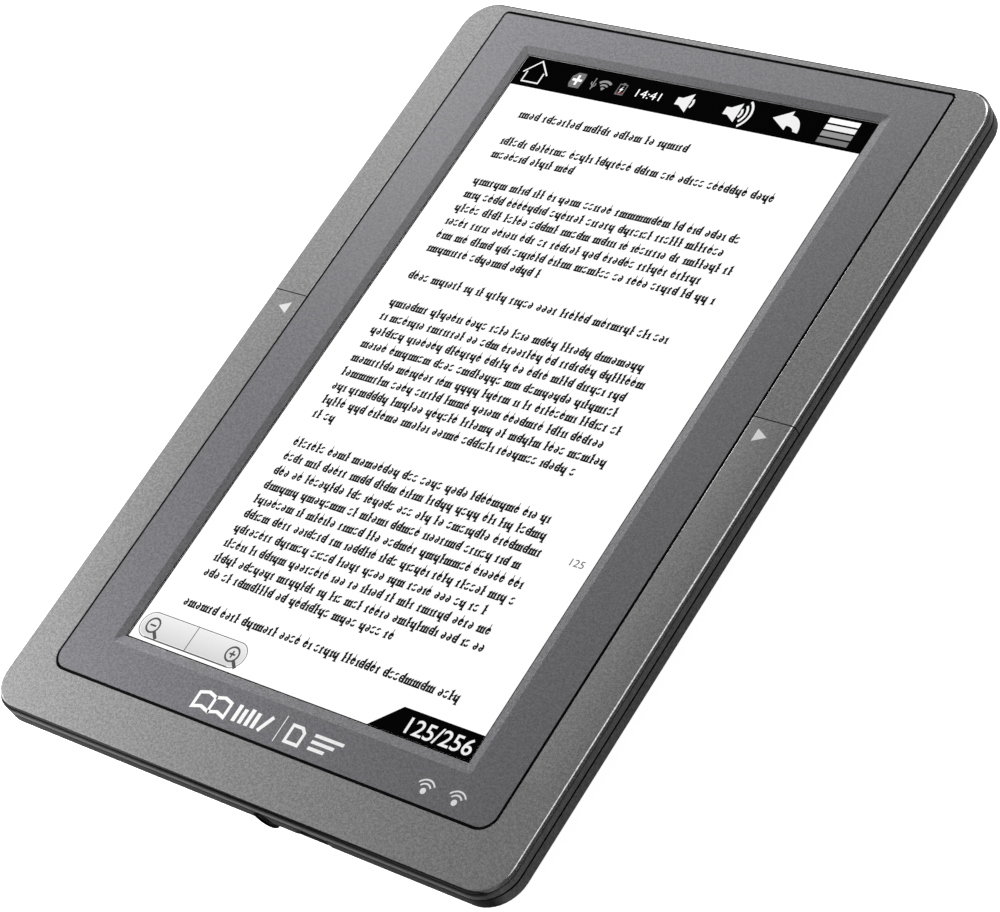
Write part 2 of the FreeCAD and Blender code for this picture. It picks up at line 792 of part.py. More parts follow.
def make_speaker_grille(body):
    """A block of small holes in the floor, under the speaker."""
    holes = level_sketch(body, "grille_holes", "shell_floor")
    for column in range(GRILLE_COLUMNS):
        for row in range(GRILLE_ROWS):
            across = f"speaker_across + grille_pitch * {column - (GRILLE_COLUMNS - 1) / 2}"
            up = f"speaker_up + grille_pitch * {row - (GRILLE_ROWS - 1) / 2}"
            draw_circle(holes, across, up, "grille_hole", f"hole{column}_{row}")
    pocket(body, holes, "shell_floor")


# ---------------------------------------------------------------- the display

def frame_of(label, z, thick, outer_width, outer_height, margin):
    """A flat rectangular frame round the screen's middle."""
    outer = block(f"{label}_outer", "0", "screen_middle", z, outer_width, outer_height, thick)
    inner = block(
        f"{label}_inner", "0", "screen_middle", f"{z} - {CLEAR}",
        f"{outer_width} - 2 * ({margin})", f"{outer_height} - 2 * ({margin})", f"({thick}) + 2 * {CLEAR}")
    return cut(label, outer, inner)


def make_touch_panel():
    keep("touch_panel", block(
        "touch_panel", "0", "screen_middle", TOUCH_BOTTOM, "touch_width", "touch_height", "touch_thick"))
    keep("touch_panel_tape", frame_of(
        "touch_panel_tape", TOUCH_TOP, "tape_thick", "touch_width", "touch_height", "tape_width"))
    keep("dust_gasket", frame_of(
        "dust_gasket", LCD_TOP, "gasket_thick", "touch_width", "touch_height", "gasket_width"))


def make_display():
    """Steel tray and frame, with the reflector, light guide, LED strip, films and LCD cell inside."""
    keep("lcd_frame", frame_of(
        "lcd_frame", f"{LCD_TOP} - lcd_frame_thick", "lcd_frame_thick",
        "lcd_width", "lcd_height", "lcd_frame_width"))
    tray_height = "lcd_thick - lcd_frame_thick"
    shell = block("tray_shell", "0", "screen_middle", LCD_BOTTOM, "lcd_width", "lcd_height", tray_height)
    inner_width = "lcd_width - 2 * lcd_tray_wall"
    inner_height = "lcd_height - 2 * lcd_tray_wall"
    hollow = block(
        "tray_hollow", "0", "screen_middle", f"{LCD_BOTTOM} + lcd_tray_floor",
        inner_width, inner_height, tray_height)
    keep("lcd_tray", cut("lcd_tray", shell, hollow))
    level = f"{LCD_BOTTOM} + lcd_tray_floor"
    keep("reflector_sheet", block(
        "reflector_sheet", "0", "screen_middle", level, inner_width, inner_height, "lcd_film_thick / 2"))
    level = f"{level} + lcd_film_thick / 2"
    keep("light_guide", block(
        "light_guide", "led_strip_width / 2", "screen_middle", level,
        f"{inner_width} - led_strip_width", inner_height, "light_guide_thick"))
    strip_across = f"-({inner_width}) / 2 + led_strip_width / 2"
    keep("led_strip", block(
        "led_strip", strip_across, "screen_middle", level,
        "led_strip_width", f"{inner_height} - 6", "light_guide_thick"))
    level = f"{level} + light_guide_thick"
    keep("diffuser_films", block(
        "diffuser_films", "0", "screen_middle", level, inner_width, inner_height, "lcd_film_thick"))
    level = f"{level} + lcd_film_thick"
    keep("lcd_cell", block(
        "lcd_cell", "0", "screen_middle", level, inner_width, inner_height, "lcd_cell_thick"))


def make_chassis():
    """The pressed plate behind the display, with slots for the cables that pass through it."""
    middle = "(chassis_top + chassis_bottom) / 2"
    plate = block(
        "chassis_blank", "0", middle, CHASSIS_BOTTOM,
        "chassis_width", "chassis_top - chassis_bottom", "chassis_thick")
    slot = block(
        "chassis_slot", "0", "board_high - chassis_slot_drop", f"{CHASSIS_BOTTOM} - {CLEAR}",
        "chassis_slot_width", "chassis_slot_height", f"chassis_thick + 2 * {CLEAR}")
    keep("chassis_plate", cut("chassis_plate", plate, slot))


# ---------------------------------------------------------------- boards, chips, battery

def make_mainboard():
    middle = "(board_low + board_high) / 2"
    blank = block(
        "mainboard_blank", "0", middle, "board_bottom",
        "board_width", "board_high - board_low", "board_thick")
    holes = [
        disc(f"mainboard_hole{index}", across, up, f"board_bottom - {CLEAR}",
             "board_screw_radius + 0.1", f"board_thick + 2 * {CLEAR}")
        for index, (across, up) in enumerate(BOARD_SCREW_SPOTS, start=1)
    ]
    keep("mainboard", cut("mainboard", blank, *holes))
    for name, across, up, width, height, thick in CHIPS:
        keep(name, block(name, across, up, BOARD_TOP, width, height, thick))
    can = block("can_shell", "can_across", "can_up", BOARD_TOP, "can_width", "can_height", "can_thick")
    inside = block(
        "can_inside", "can_across", "can_up", f"{BOARD_TOP} - {CLEAR}",
        "can_width - 2 * can_wall", "can_height - 2 * can_wall", f"can_thick - can_wall + {CLEAR}")
    keep("shield_can", cut("shield_can", can, inside))
    coils = [
        block(f"power_coil{index}", across, "coil_up", BOARD_TOP, "coil_size", "coil_size", "coil_thick")
        for index, across in enumerate(COIL_SPOTS, start=1)
    ]
    keep("power_coils", group("power_coils", coils))


def make_battery():
    """A flat pouch cell with its protection board and its ribbon to the mainboard."""
    middle = "(battery_low + battery_high) / 2"
    tapes = [
        block(f"battery_tape_{side}", f"{sign} * battery_tape_across", middle, "shell_floor",
              "battery_tape_width", "battery_tape_height", "battery_tape_thick")
        for side, sign in SIDES
    ]
    keep("battery_tapes", group("battery_tapes", tapes))
    keep("battery_cell", block(
        "battery_cell", "0", middle, "shell_floor + battery_tape_thick",
        "battery_width", "battery_high - battery_low", "battery_thick"))
    keep("battery_board", block(
        "battery_board", "0", "battery_high + battery_board_height / 2 + 0.3", "board_bottom",
        "battery_board_width", "battery_board_height", "battery_board_thick"))
    board_top = "board_bottom + battery_board_thick"
    keep("battery_ribbon", ribbon("battery_ribbon", -4.0, 4.0, [
        ("battery_high + 3", board_top),
        ("battery_high + 6", board_top),
        ("battery_high + 7", BOARD_TOP),
        ("board_low + 3", BOARD_TOP),
    ]))


def ribbon(label, left, right, route):
    """A flat cable: a strip that follows a route of (y, z) corners at one thickness."""
    body = start_body(label)
    plane = next(item for item in body.Origin.OriginFeatures if item.Role == "YZ_Plane")
    sketch = body.newObject("Sketcher::SketchObject", f"{label}_route")
    sketch.AttachmentSupport = [(plane, "")]
    sketch.MapMode = "FlatFace"
    bind(sketch, "AttachmentOffset.Base.z", left)
    below = [(y, z, None) for y, z in route]
    above = [(y, f"{z} + cable_thick", None) for y, z in reversed(route)]
    draw_outline(sketch, below + above)
    pad(body, sketch, right - left)
    return body


def make_cables():
    """The flat cables between the boards, the display and the touch panel."""
    board_level = f"{BOARD_TOP} + 0.9"
    can_top = f"{BOARD_TOP} + can_thick"
    keep("display_cable", ribbon("display_cable", -13.0, 13.0, [
        ("board_high - 26", can_top),
        ("board_high - 13.2", can_top),
        ("board_high - 12.4", f"{LCD_BOTTOM} - cable_thick"),
        ("board_high - 11", f"{LCD_BOTTOM} - cable_thick"),
    ]))
    run = "shell_floor + battery_tape_thick + battery_thick + 0.05"
    keep("port_ribbon", ribbon("port_ribbon", -26.0, -16.0, [
        ("port_board_high + 4", "port_board_base - cable_thick"),
        ("port_board_high + 12", run),
        ("battery_high + 2", run),
        ("board_low + 4", board_level),
        ("board_low + 7", board_level),
    ]))
    keep("touch_cable", ribbon("touch_cable", -29.0, -21.0, [
        ("port_board_high - 5", PORT_BOARD_TOP),
        ("port_board_high - 1.2", PORT_BOARD_TOP),
        ("screen_middle - touch_height / 2 - 0.5", f"{TOUCH_BOTTOM} - 0.9"),
        ("screen_middle - touch_height / 2", f"{TOUCH_BOTTOM} + 0.1"),
    ]))


# ---------------------------------------------------------------- ports, card slot, speaker, aerial

def make_ports():
    """The small board along the bottom edge, with the headphone jack and the USB socket."""
    width = "port_board_right - port_board_left"
    height = "port_board_high - port_board_low"
    across = "(port_board_left + port_board_right) / 2"
    up = "(port_board_low + port_board_high) / 2"
    blank = block("port_board_blank", across, up, "port_board_base", width, height, "board_thick")
    notch = block(
        "port_board_notch", "jack_across", up, f"port_board_base - {CLEAR}",
        "jack_body_width + 0.2", f"{height} + 2 * {CLEAR}", f"board_thick + 2 * {CLEAR}")
    keep("port_board", cut("port_board", blank, notch))
    make_headphone_jack()
    make_usb_socket()


def make_headphone_jack():
    """A block with a round nose in the shell's hole, bored for a 3.5 mm plug."""
    body_front = f"{JACK_FACE} + jack_nose"
    body_length = "jack_length - jack_nose + jack_back_wall"
    housing = block(
        "jack_housing", "jack_across", f"{body_front} + ({body_length}) / 2",
        "jack_up - jack_body_height / 2", "jack_body_width", body_length, "jack_body_height")
    nose = tube_along_y(
        "jack_nose", "jack_across", JACK_FACE, "jack_up", "jack_nose_radius", f"jack_nose + {CLEAR}")
    bore = tube_along_y(
        "jack_bore", "jack_across", f"{JACK_FACE} - {CLEAR}", "jack_up", "jack_bore",
        f"jack_length + {CLEAR}")
    keep("headphone_jack", cut("headphone_jack", fuse("jack_solid", housing, nose), bore))


def make_usb_socket():
    """A steel shell open to the front, and the plastic tongue inside it."""
    front = "-case_height / 2 + usb_face_inset"
    up = f"{front} + usb_length / 2"
    shell = block("usb_shell", "usb_across", up, PORT_BOARD_TOP, "usb_width", "usb_length", "usb_height")
    mouth = block(
        "usb_mouth", "usb_across", f"{up} - usb_wall", f"{PORT_BOARD_TOP} + usb_wall",
        "usb_width - 2 * usb_wall", "usb_length", "usb_height - 2 * usb_wall")
    keep("usb_socket", cut("usb_socket", shell, mouth))
    keep("usb_tongue", block(
        "usb_tongue", "usb_across", f"{up} + 0.4", f"{PORT_BOARD_TOP} + usb_height / 2",
        "usb_width - 3", "usb_length - 2 * usb_wall - 0.8", "usb_tongue_thick"))


def make_card_socket():
    """The memory card's socket: a low steel cover with a slot through it."""
    up = "board_high + card_socket_overhang - card_length / 2"
    cover = block("card_cover", "card_across", up, BOARD_TOP, "card_width", "card_length", "card_height")
    slot = block(
        "card_way", "card_across", f"{up} + {CLEAR}", f"{BOARD_TOP} + card_wall_below",
        "card_width - 2 * card_wall_side", "card_length", "card_height - 2 * card_wall_below")
    keep("card_socket", cut("card_socket", cover, slot))


def make_speaker():
    """A closed speaker box facing the grille, with a foam frame and two contacts to the port board."""
    foam_outer = block(
        "speaker_foam_outer", "speaker_across", "speaker_up", "shell_floor",
        "speaker_width", "speaker_height", "speaker_foam_thick")
    foam_inner = block(
        "speaker_foam_inner", "speaker_across", "speaker_up", f"shell_floor - {CLEAR}",
        "speaker_width - 2 * speaker_foam_width", "speaker_height - 2 * speaker_foam_width",
        f"speaker_foam_thick + 2 * {CLEAR}")
    keep("speaker_foam", cut("speaker_foam", foam_outer, foam_inner))
    base = "shell_floor + speaker_foam_thick"
    case = block(
        "speaker_case", "speaker_across", "speaker_up", base,
        "speaker_width", "speaker_height", "speaker_thick")
    recess = disc(
        "speaker_recess", "speaker_across", "speaker_up", f"{base} - {CLEAR}",
        "speaker_height / 2 - speaker_rim", f"speaker_recess_depth + {CLEAR}")
    keep("speaker", cut("speaker", case, recess))
    top = f"{base} + speaker_thick"
    contacts = [
        block(f"speaker_contact{index}", f"speaker_across + {offset}", "port_board_high - 3",
              top, "1.2", "2.4", f"port_board_base - ({top})")
        for index, offset in enumerate((4, 8), start=1)
    ]
    keep("speaker_contacts", group("speaker_contacts", contacts))


def make_aerial():
    """The Wi-Fi aerial: a printed film that stands behind the top edge and ends on the mainboard."""
    keep("wifi_aerial", ribbon("wifi_aerial", -52.0, -34.0, [
        ("board_high - 4", BOARD_TOP),
        ("board_high + 0.4", BOARD_TOP),
        ("chassis_top + 0.3", f"{CHASSIS_BOTTOM} - 0.2"),
        ("chassis_top + 0.7", f"{LCD_TOP} - 0.5"),
    ]))


# ---------------------------------------------------------------- moving parts inside

def make_power_button():
    """A key cap in the top edge with a flange behind the wall, and the side switch that it pushes."""
    outer_face = "case_height / 2 - power_inset"
    body = start_body("power_button")
    flange = upright_sketch(body, "power_flange", POWER_FLANGE_BACK)
    draw_key_outline(flange, "power_flange_side", "power_flange_rise", "power_height / 2 - 0.4")
    pad(body, flange, "power_flange_thick", reverse=True)
    cap = upright_sketch(body, "power_cap", POWER_FLANGE_BACK)
    draw_key_outline(cap, "0", "0", "power_height / 2 - 0.05")
    cap_pad = pad(body, cap, f"{outer_face} - ({POWER_FLANGE_BACK})", reverse=True)
    face = number(outer_face)
    body.Tip = round_edges(body, cap_pad, "power_edge_round", lambda p: near(p.y, face), "power_cap_edge")
    keep("power_button", body)
    make_side_switch()


def draw_key_outline(sketch, more_side, more_rise, radius):
    """The power key seen from the top edge, enlarged by the two margins."""
    side = f"(power_width / 2 + {more_side})"
    rise = f"(power_height / 2 + {more_rise})"
    draw_rectangle(
        sketch, f"power_across - {side}", f"power_across + {side}",
        f"power_up - {rise}", f"power_up + {rise}", radius)


def make_side_switch():
    """The switch on the mainboard behind the power key, and its plunger, which the key carries."""
    case = block(
        "power_switch_case", "power_across", "board_high - side_switch_depth / 2 - 0.2", BOARD_TOP,
        "side_switch_width", "side_switch_depth", "side_switch_height")
    way = block(
        "power_switch_way", "power_across", "board_high", f"{BOARD_TOP} + 0.3", "2.6", "3", "0.9")
    keep("power_switch", cut("power_switch", case, way))
    front = f"{POWER_FLANGE_BACK} - 0.05"
    back = "board_high - 0.9"
    keep("power_plunger", block(
        "power_plunger", "power_across", f"({front} + {back}) / 2", f"{BOARD_TOP} + 0.35",
        "2.4", f"{front} - ({back})", "0.8"))


def make_page_switch(side, sign):
    """The small board beside the screen, its push switch, and the ribbon to the mainboard."""
    across = f"{sign} * key_post_across"
    board_middle = f"{sign} * (key_board_inner + key_board_outer) / 2"
    board_width = "key_board_outer - key_board_inner"
    board_up = "(key_board_low + key_board_high) / 2"
    keep(f"{side}_key_board", block(
        f"{side}_key_board", board_middle, board_up, "key_board_base",
        board_width, "key_board_high - key_board_low", "key_board_thick"))
    case = block(
        f"{side}_switch_case", f"{across} - {sign} * switch_offset", "key_post_up", SWITCH_BASE,
        "switch_size", "switch_size", "switch_thick")
    well = disc(
        f"{side}_switch_well", across, "key_post_up", f"{SWITCH_BASE} + switch_well_floor",
        "switch_plunger_radius + switch_plunger_gap", "switch_thick")
    keep(f"{side}_page_switch", cut(f"{side}_page_switch", case, well))
    foot = f"{SWITCH_BASE} + switch_plunger_foot"
    keep(f"{side}_switch_plunger", disc(
        f"{side}_switch_plunger", across, "key_post_up", foot, "switch_plunger_radius",
        f"{PLUNGER_TOP} - ({foot})"))
    keep(f"{side}_key_cable", key_cable(side, sign))


def key_cable(side, sign):
    """A ribbon from the key board down beside the display and in over the mainboard."""
    body = start_body(f"{side}_key_cable")
    sketch = upright_sketch(body, f"{side}_key_cable_route", "board_low + 8")
    low = [
        (f"{sign} * (key_board_inner + 3)", "key_board_base - cable_thick", None),
        (f"{sign} * (key_board_inner - 1)", "key_board_base - cable_thick", None),
        (f"{sign} * (board_width / 2 + 1.6)", BOARD_TOP, None),
        (f"{sign} * (board_width / 2 - 5)", BOARD_TOP, None),
    ]
    high = [(x, f"{z} + cable_thick", None) for x, z, _ in reversed(low)]
    corners = low + high
    draw_outline(sketch, corners if sign < 0 else corners[::-1])
    pad(body, sketch, "6", reverse=True)
    return body


# ---------------------------------------------------------------- screws

def make_screw(label, x, y, head_base, size, turned_up):
    """A pan head screw with a cross recess. The head is under the shank, or over it if turned up."""
    radius, length, head_radius, head = size
    shank_base = f"({head_base}) - ({length})" if turned_up else f"({head_base}) + {head}"
    recess_base = f"({head_base}) + {head} - 0.4" if turned_up else f"({head_base}) - 0.1"
    solid = fuse(
        f"{label}_solid",
        disc(f"{label}_head", x, y, head_base, head_radius, head),
        disc(f"{label}_shank", x, y, shank_base, radius, length))
    cross = [
        block(f"{label}_cross_a", x, y, recess_base, f"{head_radius} * 1.2", "0.35", "0.5"),
        block(f"{label}_cross_b", x, y, recess_base, "0.35", f"{head_radius} * 1.2", "0.5"),
    ]
    return cut(label, solid, *cross)


def make_screws():
    case_size = ("case_screw_radius", "case_screw_length", "case_screw_head_radius", "case_screw_head")
    case_screws = [
        make_screw(f"case_screw_{side}{row}", f"{sign} * boss_across", up,
                   "case_screw_sink - case_screw_head", case_size, False)
        for row, up in enumerate(CASE_SCREW_ROWS, start=1)
        for side, sign in SIDES
    ]
    keep("case_screws", group("case_screws", case_screws))
    board_size = ("board_screw_radius", "board_screw_length", "board_screw_head_radius", "board_screw_head")
    board_screws = [
        make_screw(f"board_screw{index}", across, up, BOARD_TOP, board_size, True)
        for index, (across, up) in enumerate(BOARD_SCREW_SPOTS, start=1)
    ]
    keep("board_screws", group("board_screws", board_screws))


# ---------------------------------------------------------------- build, check and write

def check_everything():
    """Stops if any object failed or any piece is empty or broken."""
    for thing in doc.Objects:
        if "Invalid" in thing.State or "Error" in thing.State:
            raise ValueError(f"{thing.Name} failed: {thing.State}")
    for node in nodes:
        if node.Shape.isNull() or not node.Shape.isValid():
            raise ValueError(f"{node.Label} has a bad shape")


def write_parts():
    os.makedirs("parts", exist_ok=True)
    for node in nodes:
        node.Shape.exportStep(f"parts/{node.Label}.step")


fill_sheet()
probe = doc.addObject("Part::Vertex", "probe")
make_front_bezel()
make_trims()
for side_name, side_sign in SIDES:
    make_page_key(side_name, side_sign)
make_front_housing()
make_back_cover()
make_touch_panel()
make_display()
make_chassis()
make_mainboard()
make_battery()
make_cables()
make_ports()
make_card_socket()
make_speaker()
make_aerial()
make_power_button()
for side_name, side_sign in SIDES:
    make_page_switch(side_name, side_sign)
make_screws()
doc.removeObject("probe")
doc.recompute()
check_everything()
write_parts()
print(len(nodes), "pieces written")
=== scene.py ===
import json
import math
import random

import bpy
from mathutils import Matrix, Vector


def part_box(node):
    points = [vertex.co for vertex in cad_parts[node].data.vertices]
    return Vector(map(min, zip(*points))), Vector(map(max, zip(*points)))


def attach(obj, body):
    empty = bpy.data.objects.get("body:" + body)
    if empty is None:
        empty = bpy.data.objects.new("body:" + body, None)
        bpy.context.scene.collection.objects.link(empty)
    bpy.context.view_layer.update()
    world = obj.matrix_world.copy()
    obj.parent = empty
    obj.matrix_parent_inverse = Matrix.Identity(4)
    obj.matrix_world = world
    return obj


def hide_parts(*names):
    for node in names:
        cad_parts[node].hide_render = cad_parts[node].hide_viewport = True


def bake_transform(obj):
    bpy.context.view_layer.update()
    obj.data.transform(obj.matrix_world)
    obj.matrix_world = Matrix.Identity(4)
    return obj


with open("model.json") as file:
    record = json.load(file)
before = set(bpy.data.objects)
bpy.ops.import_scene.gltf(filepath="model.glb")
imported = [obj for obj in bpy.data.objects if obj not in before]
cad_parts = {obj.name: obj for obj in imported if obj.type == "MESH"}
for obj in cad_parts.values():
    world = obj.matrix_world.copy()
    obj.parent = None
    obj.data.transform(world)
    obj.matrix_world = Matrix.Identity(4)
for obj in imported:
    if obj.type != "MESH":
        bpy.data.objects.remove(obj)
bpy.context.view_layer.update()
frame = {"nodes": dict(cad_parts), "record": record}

# The looks of an e-reader that lies on its back. Metres, in the frame of the CAD model:
# X across the screen, Y up the page, Z out of the screen. Outlines of flat pieces are in
# millimetres from the screen's centre, or from a sign's own middle.

MM = 0.001

# The camera: where it looks, from how far, and how it is turned, in degrees.
VIEW_TARGET = Vector((11.11, -10.28, 11.5)) * MM
VIEW_AZIMUTH = 62.147
VIEW_ELEVATION = 44.006
VIEW_ROLL = -36.336
VIEW_DISTANCE = 669.54 * MM
LENS = 126.09
SENSOR_WIDTH = 36.0
NEAREST_SEEN = 0.01
FARTHEST_SEEN = 20.0

# The screen, worked out from the touch panel and the bezel that the CAD model gives.
PANEL_LOW, PANEL_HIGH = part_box("touch_panel")
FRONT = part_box("front_bezel")[1].z
SCREEN_X = (PANEL_LOW.x + PANEL_HIGH.x) / 2
SCREEN_Y = (PANEL_LOW.y + PANEL_HIGH.y) / 2
SCREEN_WIDTH = 91.44 * MM
SCREEN_HEIGHT = 152.4 * MM
HIDDEN_MARGIN = 0.35 * MM
BORDER = 0.4 * MM
# The grey line round the window's edge, a painted highlight.
RIM = 0.14 * MM
PAGE_BASE = PANEL_HIGH.z
PAGE_THICK = 0.02 * MM
INK_THICK = 0.008 * MM
PRINT_PROUD = 0.003 * MM
PRINT_BASE = FRONT - INK_THICK + PRINT_PROUD

# The status bar: its foot and its middle up the page, and its signs across the page.
BAR_LOW = 68.3
BAR_MIDDLE = 72.2
SIGN_RISE = 0.1
SIGN_X = {
    "home": -41.0,
    "card": -29.6,
    "plug": -25.1,
    "radio": -22.2,
    "battery": -17.5,
    "clock": -10.2,
    "quiet": -0.5,
    "loud": 12.0,
    "back": 26.0,
}
MENU_LEFT = 34.2
MENU_RIGHT = 41.7
MENU_TOP = BAR_MIDDLE + 3.15
MENU_PITCH = 1.66
MENU_BAR = 1.22

# The text block, and its paragraphs: their lines, and how far the last line runs.
TEXT_LEFT = -38.0
TEXT_RIGHT = 36.4
FIRST_BASE_LINE = 60.4
LINE_PITCH = 3.61
PARAGRAPHS = ((1, 0.61), (2, 0.3), (6, 0.42), (1, 0.92), (9, 0.09), (10, 0.71), (1, 1.0))
SHORTEST_LINE = 0.91
TEXT_SEED = 7

# The made-up marks of the text block: their heights, strokes and gaps.
MARK_HEIGHT = 1.68
TALL_MARK = 2.4
DEEP_MARK = 0.6
THICK = 0.5
THIN = 0.32
MARK_GAP = 0.2
WORD_GAP = 0.85
ROOM_FOR_A_WORD = 1.5

# The zoom pill in the page's lower left corner: the middles of its round ends, and its rims.
PILL_LEFT = -41.6
PILL_RIGHT = -18.4
PILL_MIDDLE = -72.1
PILL_RADIUS = 3.0
PILL_RIM = 0.18
PILL_LIGHT_RIM = 0.45

# The signs on the bezel, and the arrows on the page keys.
BEZEL_SIGN_Y = -82.9
TOUCH_SIGN_X = (40.4, 48.0)
TOUCH_SIGN_Y = -84.2
ARROW_X = 62.4
ARROW_Y = 3.0

# The painted shadow line of the seam round the bezel in millimetres, and the rim round the headphone hole.
SEAM_WIDTH = 0.34
BEZEL_CORNER = 3.5
SEAM_TOP_CORNER = 0.9
JACK_CLEAR = 0.05 * MM
JACK_RIM = 0.9 * MM
JACK_PROUD = 0.35 * MM
JACK_STEPS = 32

# The page keys' skins: the steps of their sweep, the angle above which their edges are sharp, and their
# section.
KEY_STEPS = 48
KEY_SHARP_ANGLE = math.radians(35)
KEY_EDGE_ROUND = 0.95 * MM
KEY_SEAM_ROUND = 0.12 * MM
KEY_PLATE = 1.0 * MM
KEY_SKIRT = 1.6 * MM

# Paint: its lightness by how far the surface looks up, from 0 for a wall to 1 for the face,
# at the object's two ends and along its long sides. The bezel's face has a colour.
# Besides the faces' greys and the bezel face's colour, these tones carry painted light.
# The near-black bands on the trim's rounded edges, at the ends and under the bright line along the
# long sides, and the bezel's near-black walls are painted shade and painted dark reflections.
# The bright line along the trim's long edges is a painted highlight. The trim's and the shell's
# walls are darker at the ends and lighter along the long sides: painted shade and painted light.
TRIM_END_TONES_AND_PAINTED_SHADE = ((0.0, 0.03), (0.15, 0.004), (0.95, 0.004), (0.985, 0.33))
TRIM_LONG_TONES_AND_PAINTED_LIGHT = ((0.0, 0.09), (0.3, 0.10), (0.55, 0.02), (0.62, 0.92), (0.975, 0.92), (0.99, 0.33))
BEZEL_TONES_AND_PAINTED_SHADE = ((0.0, 0.02), (0.90, 0.02), (0.93, 0.36), (1.0, (0.365, 0.360, 0.390)))
# The bezel's slopes: painted shade on those that look down and right, painted light on those that look up
# and left.
BEZEL_SLOPE_PAINTED_SHADE = (0.16, 0.56, 1.0)
SHELL_END_TONES_AND_PAINTED_SHADE = ((0.0, 0.008), (0.3, 0.004))
SHELL_LONG_TONES_AND_PAINTED_LIGHT = ((0.0, 0.09), (0.3, 0.06))
SIDE_BLEND = 0.25
SLOPE_BLEND = 0.3
GRAIN_EDGES = (0.35, 0.65)
GRAIN_HEIGHT = 0.02 * MM
PAINT_RELIEF = 0.25

# Plastic has large faint clouds in its gloss. Metal has lines along X.
CLOUD_SIZE = 12 * MM
COAT_ROUGHNESS = 0.12
BRUSH_STRETCH = 0.05
BRUSH_WIDTH = 0.15 * MM
BRUSH_RELIEF = 0.1
BRUSH_HEIGHT = 0.01 * MM

# The polished line along the long edges, whose bright colour in the trim's tones is a painted highlight: its
# share by how far the surface looks up.
POLISH_LINE = ((0.55, 0), (0.62, 1), (0.975, 1), (0.99, 0))
POLISH_SMOOTHING = 0.6

# The page's own light, the part of its colour that other light shows, and its pixel grid.
PAGE_GLOW = 0.93
PAGE_SURFACE = 0.12
PIXEL = 0.19 * MM
PIXEL_SHADE = 0.97

# The studio: its even light, the pale floor, and lights with their places, sizes and watts.
WORLD_LIGHT = 0.04
FLOOR_GLOW = 0.94
FLOOR_GAP = 0.1 * MM
FLOOR_REACH = 3.0
CENTRE = (0.0, 0.0, FRONT)
LIGHTS = (
    ("left_light", (-0.13, -0.12, 0.09), (0.10, 0.10), 0.27),
    ("side_light", (-0.16, 0.11, 0.10), (0.08, 0.18), 0.23),
    ("top_light", (-0.03, 0.20, 0.10), (0.20, 0.08), 0.31),
    ("front_light", (-0.02, -0.22, 0.10), (0.14, 0.08), 0.17),
    ("edge_light", (0.12, 0.20, 0.55), (0.24, 0.50), 0.50),
)

# The Mix node's colour sockets, which share their names with its number sockets.
MIX_FIRST = 6
MIX_SECOND = 7
MIX_RESULT = 2


# ---------------------------------------------------------------- shader nodes

def new_material(name):
    """A material with its Principled shader, and a position that stays on the piece when it moves."""
    material = bpy.data.materials.new(name)
    material.use_nodes = True
    tree = material.node_tree
    shader = tree.nodes["Principled BSDF"]
    coordinates = tree.nodes.new("ShaderNodeTexCoord")
    return material, tree, shader, coordinates.outputs["Object"]


def shade(value):
    """A grey as a colour, or a colour as it is given."""
    return value if isinstance(value, tuple) else (value,) * 3


def noise(tree, position, size, detail=2.0):
    """Noise whose grains are about the given size in metres."""
    node = tree.nodes.new("ShaderNodeTexNoise")
    node.inputs["Scale"].default_value = 1 / size
    node.inputs["Detail"].default_value = detail
    tree.links.new(position, node.inputs["Vector"])
    return node.outputs["Fac"]


def ramp(tree, factor, low, high, start=0.3, end=0.7):
    """Maps a factor to a colour or a grey between low and high."""
    node = tree.nodes.new("ShaderNodeValToRGB")
    node.color_ramp.elements[0].position = start
    node.color_ramp.elements[1].position = end
    for element, value in zip(node.color_ramp.elements, (low, high)):
        element.color = (*shade(value), 1)
    tree.links.new(factor, node.inputs["Fac"])
    return node.outputs["Color"]


def stepped(tree, factor, stops):
    """Maps a factor to a row of colours or greys, each given with its position."""
    node = tree.nodes.new("ShaderNodeValToRGB")
    elements = node.color_ramp.elements
    elements.remove(elements[1])
    for index, (place, value) in enumerate(stops):
        element = elements.new(place) if index else elements[0]
        element.position = place
        element.color = (*shade(value), 1)
    tree.links.new(factor, node.inputs["Fac"])
    return node.outputs["Color"]


def mixed(tree, factor, first, second):
    """Two colours mixed by another node's output."""
    node = tree.nodes.new("ShaderNodeMix")
    node.data_type = "RGBA"
    tree.links.new(factor, node.inputs["Factor"])
    tree.links.new(first, node.inputs[MIX_FIRST])
    tree.links.new(second, node.inputs[MIX_SECOND])
    return node.outputs[MIX_RESULT]


def multiplied(tree, first, second):
    """The product of two colours."""
    node = tree.nodes.new("ShaderNodeMix")
    node.data_type = "RGBA"
    node.blend_type = "MULTIPLY"
    node.inputs["Factor"].default_value = 1.0
    tree.links.new(first, node.inputs[MIX_FIRST])
    tree.links.new(second, node.inputs[MIX_SECOND])
    return node.outputs[MIX_RESULT]


def maths(tree, operation, *values):
    """The result of a Math node for other nodes' outputs."""
    node = tree.nodes.new("ShaderNodeMath")
    node.operation = operation
    for socket, value in zip(node.inputs, values):
        tree.links.new(value, socket)
    return node.outputs["Value"]


def share_of_span(tree, value, low, high):
    """How far a value has come from low, which gives 0, to high, which gives 1."""
    node = tree.nodes.new("ShaderNodeMapRange")
    node.inputs["From Min"].default_value = low
    node.inputs["From Max"].default_value = high
    tree.links.new(value, node.inputs["Value"])
    return node.outputs["Result"]


def bump(tree, shader, height, strength, distance):
    """Raises a surface by a height between 0 and 1."""
    node = tree.nodes.new("ShaderNodeBump")
    node.inputs["Strength"].default_value = strength
    node.inputs["Distance"].default_value = distance
    tree.links.new(height, node.inputs["Height"])
    tree.links.new(node.outputs["Normal"], shader.inputs["Normal"])


